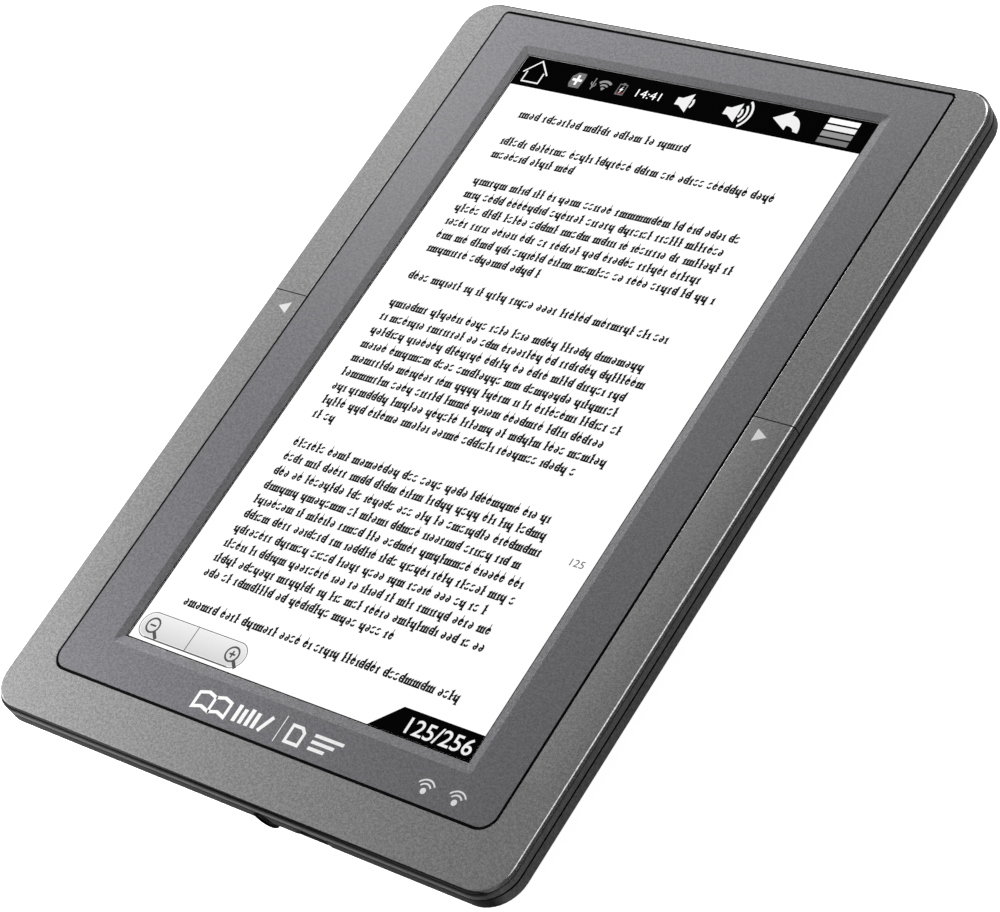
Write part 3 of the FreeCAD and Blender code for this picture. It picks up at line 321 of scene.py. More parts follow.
def facing(tree):
    """Where a surface looks, as three factors.

    Upward is 0 for a wall and 1 for the face. Sideways is 0 at the object's ends and 1 on its long
    sides. Slope is 0 for a surface that looks down and right on the page, and 1 for up and left.
    """
    split = tree.nodes.new("ShaderNodeSeparateXYZ")
    normal = tree.nodes["Texture Coordinate"].outputs["Normal"]
    tree.links.new(normal, split.inputs["Vector"])
    across = maths(tree, "ABSOLUTE", split.outputs["X"])
    along = maths(tree, "ABSOLUTE", split.outputs["Y"])
    sideways = share_of_span(tree, maths(tree, "SUBTRACT", across, along), -SIDE_BLEND, SIDE_BLEND)
    up_left = maths(tree, "SUBTRACT", split.outputs["Y"], split.outputs["X"])
    slope = share_of_span(tree, up_left, -SLOPE_BLEND, SLOPE_BLEND)
    return split.outputs["Z"], sideways, slope


# ---------------------------------------------------------------- materials

def speckled(name, colour, spread=0.12, grain=0.3 * MM, roughness=(0.35, 0.5),
             relief=0.15, coat=0.0, gloss=0.5):
    """Plastic or film with a fine grain in its colour, its gloss and its surface."""
    material, tree, shader, position = new_material(name)
    dark = tuple(c * (1 - spread) for c in colour)
    light = tuple(min(1, c * (1 + spread)) for c in colour)
    grains = noise(tree, position, grain, 3.0)
    tree.links.new(ramp(tree, grains, dark, light), shader.inputs["Base Color"])
    clouds = noise(tree, position, CLOUD_SIZE)
    tree.links.new(ramp(tree, clouds, *roughness), shader.inputs["Roughness"])
    shader.inputs["Coat Weight"].default_value = coat
    shader.inputs["Coat Roughness"].default_value = COAT_ROUGHNESS
    shader.inputs["Specular IOR Level"].default_value = gloss
    bump(tree, shader, grains, relief, GRAIN_HEIGHT)
    return material


def brushed(name, colour, roughness=(0.25, 0.4)):
    """Metal drawn along X."""
    material, tree, shader, position = new_material(name)
    stretch = tree.nodes.new("ShaderNodeMapping")
    stretch.inputs["Scale"].default_value = (BRUSH_STRETCH, 1, 1)
    tree.links.new(position, stretch.inputs["Vector"])
    lines = noise(tree, stretch.outputs["Vector"], BRUSH_WIDTH, 4.0)
    dark = tuple(c * 0.85 for c in colour)
    tree.links.new(ramp(tree, lines, dark, colour), shader.inputs["Base Color"])
    tree.links.new(ramp(tree, lines, *roughness), shader.inputs["Roughness"])
    shader.inputs["Metallic"].default_value = 1.0
    bump(tree, shader, lines, BRUSH_RELIEF, BRUSH_HEIGHT)
    return material


def paint_grain(tree, position, size, spread):
    """The paint's fine noise, and the grey that fine and coarse grains give its colour."""
    coarse = noise(tree, position, size * 2.5, 2.0)
    fine = noise(tree, position, size, 3.0)
    fine_grey = ramp(tree, fine, 1 - spread, 1.0, *GRAIN_EDGES)
    coarse_grey = ramp(tree, coarse, 1 - spread * 0.6, 1.0, *GRAIN_EDGES)
    return fine, multiplied(tree, fine_grey, coarse_grey)


def painted(name, end_shades, long_shades, grain, spread, roughness, gloss, polish=0.0, slopes=None):
    """Satin paint with a grain, whose rounded edges carry painted shade and a painted highlight that differ
    at the object's ends and long sides.

    Slopes are three factors for its colour, painted shade and painted light: looking down and right, level,
    and up and left.
    Polish is how metallic the line along the long edges is.
    """
    material, tree, shader, position = new_material(name)
    upward, sideways, slope = facing(tree)
    # The tones carry painted shade and a painted highlight by where the surface looks.
    tone = mixed(tree, sideways, stepped(tree, upward, end_shades), stepped(tree, upward, long_shades))
    if slopes:
        dark, level, light = slopes
        # Painted shade on slopes that look down and right, painted light on those that look up and left.
        slope_painted_shade = stepped(tree, slope, ((0.0, dark), (0.4, level), (0.6, level), (1.0, light)))
        tone = multiplied(tree, tone, slope_painted_shade)
    fine, grain_grey = paint_grain(tree, position, grain, spread)
    tree.links.new(multiplied(tree, tone, grain_grey), shader.inputs["Base Color"])
    dullness = ramp(tree, fine, *roughness)
    # The line is made metallic and smooth here; its bright colour is a painted highlight.
    if polish:
        metal = [(place, polish * share) for place, share in POLISH_LINE]
        smooth = [(place, 1 - POLISH_SMOOTHING * share) for place, share in POLISH_LINE]
        line = multiplied(tree, stepped(tree, upward, metal), sideways)
        tree.links.new(line, shader.inputs["Metallic"])
        dullness = multiplied(tree, dullness, stepped(tree, upward, smooth))
    tree.links.new(dullness, shader.inputs["Roughness"])
    shader.inputs["Specular IOR Level"].default_value = gloss
    bump(tree, shader, fine, PAINT_RELIEF, GRAIN_HEIGHT)
    return material


def lit(name, grey, tint=(1, 1, 1)):
    """Part of the lit page: its own light, and a pixel grid too fine to see from afar."""
    material, tree, shader, position = new_material(name)
    colour = tuple(grey * c for c in tint)
    surface = tuple(PAGE_SURFACE * c for c in colour)
    pixels = tree.nodes.new("ShaderNodeTexChecker")
    pixels.inputs["Scale"].default_value = 1 / PIXEL
    pixels.inputs["Color1"].default_value = (*surface, 1)
    pixels.inputs["Color2"].default_value = (*(c * PIXEL_SHADE for c in surface), 1)
    tree.links.new(position, pixels.inputs["Vector"])
    tree.links.new(pixels.outputs["Color"], shader.inputs["Base Color"])
    shader.inputs["Roughness"].default_value = 0.4
    shader.inputs["Specular IOR Level"].default_value = 0.0
    shader.inputs["Emission Color"].default_value = (*colour, 1)
    shader.inputs["Emission Strength"].default_value = PAGE_GLOW
    return material


def lit_fade(name, low_grey, high_grey, low_y, high_y):
    """Lit, and fading up the page from one grey to another."""
    material = lit(name, high_grey)
    tree = material.node_tree
    shader = tree.nodes["Principled BSDF"]
    split = tree.nodes.new("ShaderNodeSeparateXYZ")
    tree.links.new(tree.nodes["Texture Coordinate"].outputs["Object"], split.inputs["Vector"])
    height = share_of_span(tree, split.outputs["Y"], low_y, high_y)
    shades = ramp(tree, height, low_grey, high_grey, 0.0, 1.0)
    tree.links.new(shades, shader.inputs["Emission Color"])
    return material


def make_case_materials():
    """The paints and plastics of the case, with painted shade and painted highlights on their edges and
    slopes.
    """
    return {
        "trim": painted("trim_paint_and_painted_light", TRIM_END_TONES_AND_PAINTED_SHADE, TRIM_LONG_TONES_AND_PAINTED_LIGHT,
                        grain=0.24 * MM, spread=0.44, roughness=(0.42, 0.52), gloss=0.06, polish=0.9),
        "bezel": painted("bezel_paint_and_painted_light", BEZEL_TONES_AND_PAINTED_SHADE, BEZEL_TONES_AND_PAINTED_SHADE,
                         grain=0.24 * MM, spread=0.45, roughness=(0.48, 0.58), gloss=0.3,
                         slopes=BEZEL_SLOPE_PAINTED_SHADE),
        "shell": painted("shell_plastic_and_painted_light", SHELL_END_TONES_AND_PAINTED_SHADE, SHELL_LONG_TONES_AND_PAINTED_LIGHT,
                         grain=0.35 * MM, spread=0.35, roughness=(0.42, 0.52), gloss=0.01),
        "housing": speckled("black_plastic", (0.012, 0.012, 0.013), 0.2, 0.4 * MM, (0.45, 0.6)),
    }


def make_inner_materials():
    """The materials of the screen's layers and of what is inside the case."""
    return {
        "touch_glass": speckled("panel_film", (0.80, 0.81, 0.82), 0.01, 2 * MM, (0.05, 0.08),
                                relief=0.0, coat=0.5),
        "lcd_glass": speckled("cell_glass", (0.03, 0.03, 0.04), 0.05, 3 * MM, (0.04, 0.07),
                              relief=0.0, coat=0.5),
        "film": speckled("optical_film", (0.86, 0.86, 0.83), 0.03, 1 * MM, (0.3, 0.4), relief=0.05),
        "steel": brushed("plate_steel", (0.60, 0.60, 0.58)),
        "circuit_board": speckled("solder_mask", (0.02, 0.13, 0.05), 0.25, 0.8 * MM, (0.3, 0.4), relief=0.2),
        "chip": speckled("chip_package", (0.02, 0.02, 0.022), 0.15, 0.2 * MM, (0.5, 0.6)),
        "foil": brushed("pouch_foil", (0.72, 0.72, 0.74), (0.3, 0.45)),
        "foam": speckled("black_foam", (0.02, 0.02, 0.02), 0.4, 0.5 * MM, (0.85, 0.95), relief=0.6),
        "ribbon": speckled("amber_film", (0.45, 0.20, 0.04), 0.15, 0.6 * MM, (0.25, 0.35)),
        "screw": brushed("black_nickel", (0.12, 0.12, 0.125), (0.3, 0.45)),
        "contact": brushed("gold_plate", (0.80, 0.58, 0.22), (0.2, 0.3)),
    }


def make_page_materials():
    """The lit greys of the page, and the fading one of the zoom pill."""
    pill_low = on_screen(0, PILL_MIDDLE - PILL_RADIUS)[1]
    pill_high = on_screen(0, PILL_MIDDLE + PILL_RADIUS)[1]
    return {
        "page_white": lit("page_white", 1.0),
        "page_black": lit("page_black", 0.0015),
        "page_ink": lit("page_ink", 0.01),
        "page_pale": lit("page_pale", 0.84),
        "page_grey": lit("page_grey", 0.30),
        "page_slate": lit("page_slate", 0.18),
        "page_dim": lit("page_dim", 0.09),
        "page_red": lit("page_red", 0.16, (1.0, 0.25, 0.2)),
        "pill": lit_fade("pill_fade", 0.60, 0.82, pill_low, pill_high),
    }


def make_print_materials():
    """The inks on the bezel and the keys, the grey also of the painted highlight round the window, and the
    black of the seam's painted shadow and of the jack's rim.
    """
    return {
        # Black for the seam's painted shadow, and for the jack's rim.
        "seam": speckled("seam_shadow_and_jack_black", (0.004, 0.004, 0.004), 0.2, 0.3 * MM, (0.6, 0.7), gloss=0.0),
        "print_white": speckled("print_white", (0.85, 0.85, 0.85), 0.04, 0.3 * MM, (0.4, 0.5)),
        # The grey ink also draws the painted highlight round the window's edge.
        "grey_print_and_painted_highlight": speckled("grey_print_and_painted_highlight", (0.62, 0.62, 0.62), 0.04, 0.3 * MM, (0.4, 0.5)),
    }


def make_materials():
    """One material for every slot of the record, and those of the page and the prints."""
    return make_case_materials() | make_inner_materials() | make_page_materials() | make_print_materials()


def dress_cad_nodes(materials):
    """Gives every CAD node the material of its slot in the record."""
    for entry in frame["record"]["subparts"]:
        node = frame["nodes"][entry["node"]]
        node.data.materials.clear()
        node.data.materials.append(materials[entry["material_slot"]])


# ---------------------------------------------------------------- flat closed pieces

def on_screen(x, y):
    """A point given in millimetres from the screen's centre."""
    return SCREEN_X + x * MM, SCREEN_Y + y * MM


def new_mesh(name, points, faces):
    """A mesh from its points and faces."""
    mesh = bpy.data.meshes.new(name)
    mesh.from_pydata(points, [], faces)
    return mesh


def new_object(name, mesh, material):
    """An object with one material, in the scene."""
    mesh.materials.clear()
    mesh.materials.append(material)
    thing = bpy.data.objects.new(name, mesh)
    bpy.context.scene.collection.objects.link(thing)
    return thing


def add_piece(name, mesh, material, body="case"):
    """A piece that rides on a body, with the material it is given."""
    piece = new_object(name, mesh, material)
    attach(piece, body)


def slab_piece(name, outlines, base, thick, material, body="case"):
    """Closed slabs on one level, one for each outline in millimetres from the screen's centre."""
    points = []
    faces = []
    for outline in outlines:
        first = len(points)
        count = len(outline)
        flat = [on_screen(x, y) for x, y in outline]
        area = sum(a[0] * b[1] - b[0] * a[1] for a, b in zip(flat, flat[1:] + flat[:1]))
        if area < 0:
            flat.reverse()
        points += [(x, y, base) for x, y in flat]
        points += [(x, y, base + thick) for x, y in flat]
        faces.append([first + i for i in reversed(range(count))])
        faces.append([first + count + i for i in range(count)])
        for i in range(count):
            j = (i + 1) % count
            faces.append([first + i, first + j, first + count + j, first + count + i])
    add_piece(name, new_mesh(name, points, faces), material, body)


def page_piece(name, outlines, level, material):
    """A thin slab on the lit page."""
    slab_piece(name, outlines, level, INK_THICK, material)


def rectangle(left, low, right, high):
    """The outline of an upright rectangle."""
    return [(left, low), (right, low), (right, high), (left, high)]


def stroke(points, width, closed=False):
    """A stroke of even width along a row of points, with mitred corners."""
    sharpest_mitre = 0.3
    row = [Vector(point) for point in points]
    count = len(row)
    left = []
    right = []
    for index, point in enumerate(row):
        runs = []
        if index or closed:
            runs.append((point - row[index - 1]).normalized())
        if index < count - 1 or closed:
            runs.append((row[(index + 1) % count] - point).normalized())
        along = sum(runs, Vector((0, 0))).normalized()
        across = Vector((-along.y, along.x))
        reach = width / 2 / max(sharpest_mitre, along.dot(runs[0]))
        left.append(tuple(point + across * reach))
        right.append(tuple(point - across * reach))
    if not closed:
        return [left + right[::-1]]
    turns = [(i, (i + 1) % count) for i in range(count)]
    return [[left[i], left[j], right[j], right[i]] for i, j in turns]


def arc_points(x, y, radius, start, end, steps=10):
    """Points along an arc, its angles in degrees. A radius may differ across and up the page."""
    across, up = radius if isinstance(radius, tuple) else (radius, radius)
    angles = [math.radians(start + (end - start) * i / steps) for i in range(steps + 1)]
    return [(x + across * math.cos(a), y + up * math.sin(a)) for a in angles]


def arc_band(x, y, radius, start, end, width, steps=10):
    """A curved stroke of even width."""
    inner = arc_points(x, y, radius - width / 2, start, end, steps)
    outer = arc_points(x, y, radius + width / 2, start, end, steps)
    return [outer + inner[::-1]]


def ring(x, y, radius, width):
    """A ring, made of two half bands."""
    return arc_band(x, y, radius, 0, 180, width, 12) + arc_band(x, y, radius, 180, 360, width, 12)


def moved(outlines, x, y):
    """Outlines moved to another middle."""
    return [[(x + px, y + py) for px, py in outline] for outline in outlines]


# ---------------------------------------------------------------- the page

def make_page(materials):
    """The lit page on the touch panel's front, and everything that is shown on it."""
    half_width = SCREEN_WIDTH / 2 / MM
    half_height = SCREEN_HEIGHT / 2 / MM
    hidden = HIDDEN_MARGIN / MM
    border = BORDER / MM
    rim = RIM / MM
    level = PAGE_BASE
    right = half_width + hidden
    top = half_height + hidden
    whole = rectangle(-right, -top, right, top)
    slab_piece("page_border", [whole], level, PAGE_THICK, materials["page_black"])
    level += PAGE_THICK
    # A grey line round the window's edge, a painted highlight, on the black border.
    rim_right = half_width - rim / 2
    rim_top = half_height - rim / 2
    window = rectangle(-rim_right, -rim_top, rim_right, rim_top)
    page_piece("window_edge_painted_highlight", stroke(window, rim, closed=True), level, materials["grey_print_and_painted_highlight"])
    white = rectangle(border - half_width, border - half_height, half_width - border, BAR_LOW)
    page_piece("page_white", [white], level, materials["page_white"])
    make_status_signs(materials, level)
    level += INK_THICK
    make_page_text(materials["page_ink"], level)
    make_zoom_pill(materials, level)
    make_page_counter(materials, level, half_width - border, half_height - border)
    digits("page_number", "125", (41.6, -32.3), (3.3, 1.6), level, materials["page_dim"])


def home_outlines():
    """A roof with a box under it."""
    line = 0.36
    roof = stroke([(-3.3, -0.3), (0, 3.1), (3.3, -0.3)], line)
    walls = stroke([(-2.25, 0.1), (-2.25, -2.6), (2.25, -2.6), (2.25, 0.1)], line)
    return roof + walls


def card_outlines():
    """A blunt plate with cut corners."""
    return [[(-1.7, -1.0), (-1.2, -1.9), (1.5, -1.9), (1.7, 0.9), (1.5, 2.0), (-0.6, 2.0), (-1.7, 0.9)]]


def plus_outlines():
    """A plus sign."""
    return [rectangle(-1.25, -0.3, 1.25, 0.3), rectangle(-0.3, -1.3, 0.3, 1.3)]


def plug_outlines():
    """A cable that branches to both sides."""
    line = 0.22
    left_branch = stroke([(0, -0.6), (-0.6, 0.0), (-0.6, 0.5)], line)
    right_branch = stroke([(0, -1.0), (0.6, -0.4), (0.6, 0.2)], line)
    return [rectangle(-0.12, -1.5, 0.12, 1.5)] + left_branch + right_branch


def radio_outlines():
    """A wedge with two waves above it."""
    wedge = arc_points(0, -1.2, 0.75, 45, 135, 6) + [(0, -1.3)]
    waves = arc_band(0, -1.2, 1.35, 47, 133, 0.45) + arc_band(0, -1.2, 2.3, 48, 132, 0.6)
    return [wedge] + waves


def battery_outlines():
    """An upright battery with its contact on top."""
    case = stroke([(-0.95, -1.4), (0.95, -1.4), (0.95, 1.2), (-0.95, 1.2)], 0.22, closed=True)
    return case + [rectangle(-0.4, 1.3, 0.4, 1.6)]


def bolt_outlines():
    """A charging bolt."""
    return [[(0.25, 1.0), (-0.45, -0.2), (-0.05, -0.2), (-0.25, -1.1), (0.45, 0.2), (0.05, 0.2)]]


def sound_outlines(waves):
    """A loudspeaker with a number of sound waves, each wider than the one inside it."""
    nearest_wave = 1.75
    outlines = [rectangle(-2.4, -0.95, -1.2, 0.95)]
    outlines.append([(-1.2, -0.95), (1.1, -2.45), (1.1, 2.45), (-1.2, 0.95)])
    for wave in range(waves):
        reach = 36 + 8 * wave
        outlines += arc_band(0.1, 0, nearest_wave + 1.15 * wave, -reach, reach, 0.55)
    return outlines


def back_outlines():
    """An arrow head on the left, with a tail that curves down to the right."""
    head = [(-4.5, 0.4), (-0.4, 2.9), (-0.4, 1.75), (-0.4, -0.85), (-0.4, -2.0)]
    upper_side = arc_points(-0.3, -2.2, (3.35, 3.95), 85, 0, 8)
    lower_side = arc_points(-0.3, -2.2, (2.1, 1.35), 10, 85, 6)
    return [head, [(-0.5, 1.75)] + upper_side + lower_side + [(-0.5, -0.85)]]


def make_status_signs(materials, level):
    """The signs along the status bar, from the home sign on the left to the menu on the right."""

    def sign(name, outlines, place, rise, tone, step=0):
        placed = moved(outlines, SIGN_X[place], BAR_MIDDLE + rise)
        page_piece(name, placed, level + step * INK_THICK, materials[tone])

    sign("home_sign", home_outlines(), "home", 0, "page_pale")
    sign("card_sign", card_outlines(), "card", SIGN_RISE, "page_slate")
    sign("card_plus_sign", plus_outlines(), "card", 0.2, "page_white", 1)
    sign("plug_sign", plug_outlines(), "plug", SIGN_RISE, "page_grey")
    sign("radio_sign", radio_outlines(), "radio", SIGN_RISE, "page_grey")
    sign("battery_sign", battery_outlines(), "battery", SIGN_RISE, "page_slate")
    sign("battery_level", [rectangle(-0.8, -1.25, 0.8, -0.75)], "battery", SIGN_RISE, "page_red")
    sign("charge_sign", bolt_outlines(), "battery", 0, "page_white", 1)
    clock_place = (SIGN_X["clock"], BAR_MIDDLE)
    digits("clock_digits", "14:41", clock_place, (6.3, 2.0), level, materials["page_white"])
    sign("quiet_sign", sound_outlines(1), "quiet", 0, "page_pale")
    sign("loud_sign", sound_outlines(3), "loud", 0, "page_pale")
    sign("back_sign", back_outlines(), "back", SIGN_RISE, "page_pale")
    for row, tone in enumerate(("page_white", "page_pale", "page_grey", "page_slate")):
        top = MENU_TOP - row * MENU_PITCH
        bar = rectangle(MENU_LEFT, top - MENU_BAR, MENU_RIGHT, top)
        page_piece(f"menu_bar_{row + 1}", [bar], level, materials[tone])


def digits(name, text, place, size, level, material, weight=0.0):
    """Numbers that fill a given width and height about a place, as a closed solid of the ink's thickness."""
    width, height = size
    curve = bpy.data.curves.new(name, "FONT")
    curve.body = text
    curve.size = height * MM
    curve.offset = weight * MM
    curve.extrude = INK_THICK / 2
    curve.resolution_u = 4
    shape = bpy.data.objects.new(name, curve)
    bpy.context.scene.collection.objects.link(shape)
    bpy.context.view_layer.update()
    mesh = bpy.data.meshes.new_from_object(shape.evaluated_get(bpy.context.evaluated_depsgraph_get()))
    bpy.data.objects.remove(shape)
    low = [min(v.co[axis] for v in mesh.vertices) for axis in range(3)]
    high = [max(v.co[axis] for v in mesh.vertices) for axis in range(3)]
    scale = (width * MM / (high[0] - low[0]), height * MM / (high[1] - low[1]), 1)
    to_middle = Matrix.Translation([-(a + b) / 2 for a, b in zip(low, high)])
    to_place = Matrix.Translation((*on_screen(*place), level + INK_THICK / 2))
    mesh.transform(to_place @ Matrix.Diagonal((*scale, 1)) @ to_middle)
    add_piece(name, mesh, material)


def bowl(x, start, end, low=0.0, high=MARK_HEIGHT, half=0.6):
    """A round stroke, thick at its sides and thin at its top and foot."""
    middle = (low + high) / 2
    reach = (high - low) / 2
    outer = arc_points(x, middle, (half, reach), start, end, 8)
    inner = arc_points(x, middle, (half - THICK, reach - THIN), start, end, 8)
    return [outer + inner[::-1]]


def stem(x, low=0.0, high=MARK_HEIGHT):
    """An upright stroke with a slanted flag at its top and a thin foot."""
    foot_reach = 0.15
    flag_reach = 0.2
    return [
        [(x, low), (x + THICK, low), (x + THICK, high), (x, high - THIN)],
        rectangle(x - foot_reach, low, x + THICK + foot_reach, low + THIN * 0.8),
        [(x - flag_reach, high - 2 * THIN), (x, high - 2 * THIN), (x, high - THIN),
         (x - flag_reach, high - 1.5 * THIN)],
    ]


def make_marks():
    """Made-up marks, each with its width. They stand for print seen from afar and aren't letters."""
    half_up = MARK_HEIGHT / 2
    bar = rectangle(0.2, half_up - THIN / 2, 1.0, half_up + THIN / 2)
    upper_bowl = bowl(0.55, 30, 200, half_up - THIN / 2, MARK_HEIGHT, 0.55)
    lower_bowl = bowl(0.55, 150, 400, 0.0, half_up, 0.55)
    return (
        (bowl(0.6, -170, 110) + [bar], 1.2),
        (bowl(0.6, 40, 320) + stem(0.85, 0.0, TALL_MARK)[:1] + [bar], 1.25),
        (stem(0.2), 0.62),
        (stem(0.2, 0.0, TALL_MARK) + [rectangle(0.58, half_up, 0.95, half_up + THIN)], 0.9),
        (stem(0.1, 0.25) + stem(0.9, -DEEP_MARK) + bowl(0.65, 180, 350, 0.0, MARK_HEIGHT, 0.55), 1.4),
        (upper_bowl + lower_bowl, 1.1),
        (stem(0.1, 0.1) + stem(0.75, 0.1) + stem(1.4) + [rectangle(0.1, 0.0, 1.7, THIN)], 1.85),
        (bowl(0.6, 0, 345) + [rectangle(0.5, half_up, 0.7, TALL_MARK)], 1.2),
        (stem(0.2) + bowl(0.45, 20, 100, 0.4, MARK_HEIGHT, 0.5), 0.95),
    )


def make_page_text(ink, level):
    """Paragraphs of made-up marks, ragged on the right, with the last line of each cut short."""
    shuffle = random.Random(TEXT_SEED)
    marks = make_marks()
    outlines = []
    base = FIRST_BASE_LINE
    for lines, last_share in PARAGRAPHS:
        for row in range(lines):
            share = last_share if row == lines - 1 else shuffle.uniform(SHORTEST_LINE, 1.0)
            outlines += text_line(marks, shuffle, base, TEXT_LEFT + (TEXT_RIGHT - TEXT_LEFT) * share)
            base -= LINE_PITCH
        base -= LINE_PITCH
    page_piece("page_text", outlines, level, ink)


def text_line(marks, shuffle, base, end):
    """One line of words of two to eight marks each."""
    outlines = []
    x = TEXT_LEFT
    while x < end - ROOM_FOR_A_WORD:
        for _ in range(shuffle.randint(2, 8)):
            shapes, width = marks[shuffle.randrange(len(marks))]
            if x + width > end:
                break
            outlines += moved(shapes, x, base)
            x += width + MARK_GAP
        x += WORD_GAP
    return outlines


def pill(radius):
    """The zoom button's outline, with round ends of a given radius."""
    right_end = arc_points(PILL_RIGHT, PILL_MIDDLE, radius, -90, 90, 16)
    return [right_end + arc_points(PILL_LEFT, PILL_MIDDLE, radius, 90, 270, 16)]


def magnifier(x):
    """A lens with a slanted handle and a minus sign in it."""
    lens = ring(x, PILL_MIDDLE, 1.6, 0.42)
    handle = stroke([(x + 1.1, PILL_MIDDLE - 1.1), (x + 2.55, PILL_MIDDLE - 2.6)], 0.75)
    return lens + handle + [rectangle(x - 0.8, PILL_MIDDLE - 0.2, x + 0.8, PILL_MIDDLE + 0.2)]


def make_zoom_pill(materials, level):
    """The two-part zoom button: a pale pill with a dark rim, a divider and two magnifiers."""
    levels = [level + step * INK_THICK for step in range(4)]
    page_piece("zoom_rim", pill(PILL_RADIUS), levels[0], materials["page_dim"])
    page_piece("zoom_light_rim", pill(PILL_RADIUS - PILL_RIM), levels[1], materials["page_pale"])
    page_piece("zoom_pill", pill(PILL_RADIUS - PILL_LIGHT_RIM), levels[2], materials["pill"])
    foot = PILL_MIDDLE - PILL_RADIUS
    top = PILL_MIDDLE + PILL_RADIUS
    minus_x = PILL_LEFT + 0.4
    plus_x = PILL_RIGHT - 0.5
    divider = rectangle(-30.4, foot + 0.2, -30.2, top - 0.2)
    shadow = rectangle(PILL_LEFT, foot, PILL_RIGHT, foot + 0.3)
    signs = [divider, shadow] + magnifier(minus_x) + magnifier(plus_x)
    signs += moved([rectangle(-0.2, -0.8, 0.2, 0.8)], plus_x, PILL_MIDDLE)
    page_piece("zoom_signs", signs, levels[3], materials["page_dim"])


def make_page_counter(materials, level, right, foot):
    """The black tab in the lower corner with the page count."""
    tab = [(19.8, -foot), (right, -foot), (right, -70.1), (25.3, -70.1)]
    page_piece("counter_tab", [tab], level, materials["page_black"])
    digits("counter_digits", "125/256", (36.4, -73.2), (16.2, 3.5), level + INK_THICK,
           materials["page_pale"], weight=0.035)


# ---------------------------------------------------------------- prints on the case

def open_book():
    """An open book, seen from the front."""
    line = 0.72
    left = [(0, -1.9), (0, 1.3), (-2.2, 1.9), (-4.3, 1.3), (-4.3, -1.9), (-2.2, -1.3)]
    right = [(0, -1.9), (2.2, -1.3), (4.3, -1.9), (4.3, 1.3), (2.2, 1.9), (0, 1.3)]
    pages = stroke(left, line, closed=True) + stroke(right, line)
    return moved(pages, -15.4, BEZEL_SIGN_Y)


def book_row():
    """Four upright books, and one that leans on them."""
    books = []
    for x, high in ((-8.6, 1.8), (-6.9, 1.3), (-5.2, 1.8), (-3.5, 1.5)):
        books += moved([rectangle(-0.5, -1.9, 0.5, high)], x, BEZEL_SIGN_Y)
    return books + stroke([(-1.9, -84.8), (0.0, -81.2)], 0.9)


def page_with_lines():
    """A page with a cut corner, and three lines beside it that grow shorter."""
    page = stroke([(-1.7, -1.8), (1.7, -1.8), (1.7, 0.9), (0.7, 1.8), (-1.7, 1.8)], 0.7, closed=True)
    signs = moved(page, 7.0, -83.0)
    for row in range(3):
        signs += moved([rectangle(0, -0.36, 7.4 - 1.6 * row, 0.36)], 11.2, -81.6 - 1.4 * row)
    return signs


def make_prints(materials):
    """Generic signs printed on the bezel, and the arrows on the page keys."""
    divider = [rectangle(2.75, -85.7, 2.95, -79.9)]
    signs = open_book() + book_row() + divider + page_with_lines()
    slab_piece("bezel_signs", signs, PRINT_BASE, INK_THICK, materials["print_white"])
    touch = []
    for x in TOUCH_SIGN_X:
        touch.append(arc_points(x, TOUCH_SIGN_Y, 0.65, 0, 345, 16))
        for radius in (1.5, 2.35):
            touch += arc_band(x, TOUCH_SIGN_Y, radius, 35, 145, 0.35, 10)
    slab_piece("touch_signs", touch, PRINT_BASE, INK_THICK, materials["print_white"])
    arrow = [(-1.5, 0), (1.3, 1.45), (1.3, -1.45)]
    for side, sign, ink in (("left", 1, "grey_print_and_painted_highlight"), ("right", -1, "print_white")):
        outline = [(sign * (x - ARROW_X), y + ARROW_Y) for x, y in arrow]
        slab_piece(f"{side}_key_arrow", [outline], PRINT_BASE, INK_THICK, materials[ink],
                   f"{side}_page_key")


def make_seam(material):
    """A painted shadow: a black line on the bezel's edge where it meets the trim, tighter at its top corners
    than below.
    """
    low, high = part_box("front_bezel")
    inset = SEAM_WIDTH / 2
    left = (low.x - SCREEN_X) / MM + inset
    foot = (low.y - SCREEN_Y) / MM + inset
    right = (high.x - SCREEN_X) / MM - inset
    top = (high.y - SCREEN_Y) / MM - inset
    low_round, top_round = BEZEL_CORNER, SEAM_TOP_CORNER
    line = arc_points(left + low_round, foot + low_round, low_round, 180, 270, 8)
    line += arc_points(right - low_round, foot + low_round, low_round, 270, 360, 8)
    line += arc_points(right - top_round, top - top_round, top_round, 0, 90, 4)
    line += arc_points(left + top_round, top - top_round, top_round, 90, 180, 4)
    outlines = stroke(line, SEAM_WIDTH, closed=True)
    slab_piece("bezel_seam", outlines, PRINT_BASE, INK_THICK, material)


def swept_faces(sections, count, closed=False):
    """Faces between the sections of a sweep, each of a count of points."""
    faces = []
    for step in range(sections if closed else sections - 1):
        after = (step + 1) % sections
        for i in range(count):
            j = (i + 1) % count
            faces.append((step * count + i, step * count + j, after * count + j, after * count + i))
    return faces


def make_jack_rim(material):
    """The black rim that shows round the headphone hole in the lower edge."""
    mount = next(row for row in frame["record"]["mounts"] if row["name"] == "headphone_bore")
    x, y, z = mount["pos_m"]
    inner = mount["dims"]["r_mm"] * MM + JACK_CLEAR
    outer = inner + JACK_RIM
    section = [(inner, 0), (inner, 1), (inner + 0.7 * JACK_RIM, 1), (outer, 0.5), (outer, 0)]
    points = []
    for step in range(JACK_STEPS):
        angle = 2 * math.pi * step / JACK_STEPS
        for radius, out in section:
            points.append((x + radius * math.cos(angle), y - out * JACK_PROUD, z + radius * math.sin(angle)))
    faces = swept_faces(JACK_STEPS, len(section), closed=True)
    add_piece("jack_rim", new_mesh("jack_rim", points, faces), material)


# ---------------------------------------------------------------- page keys

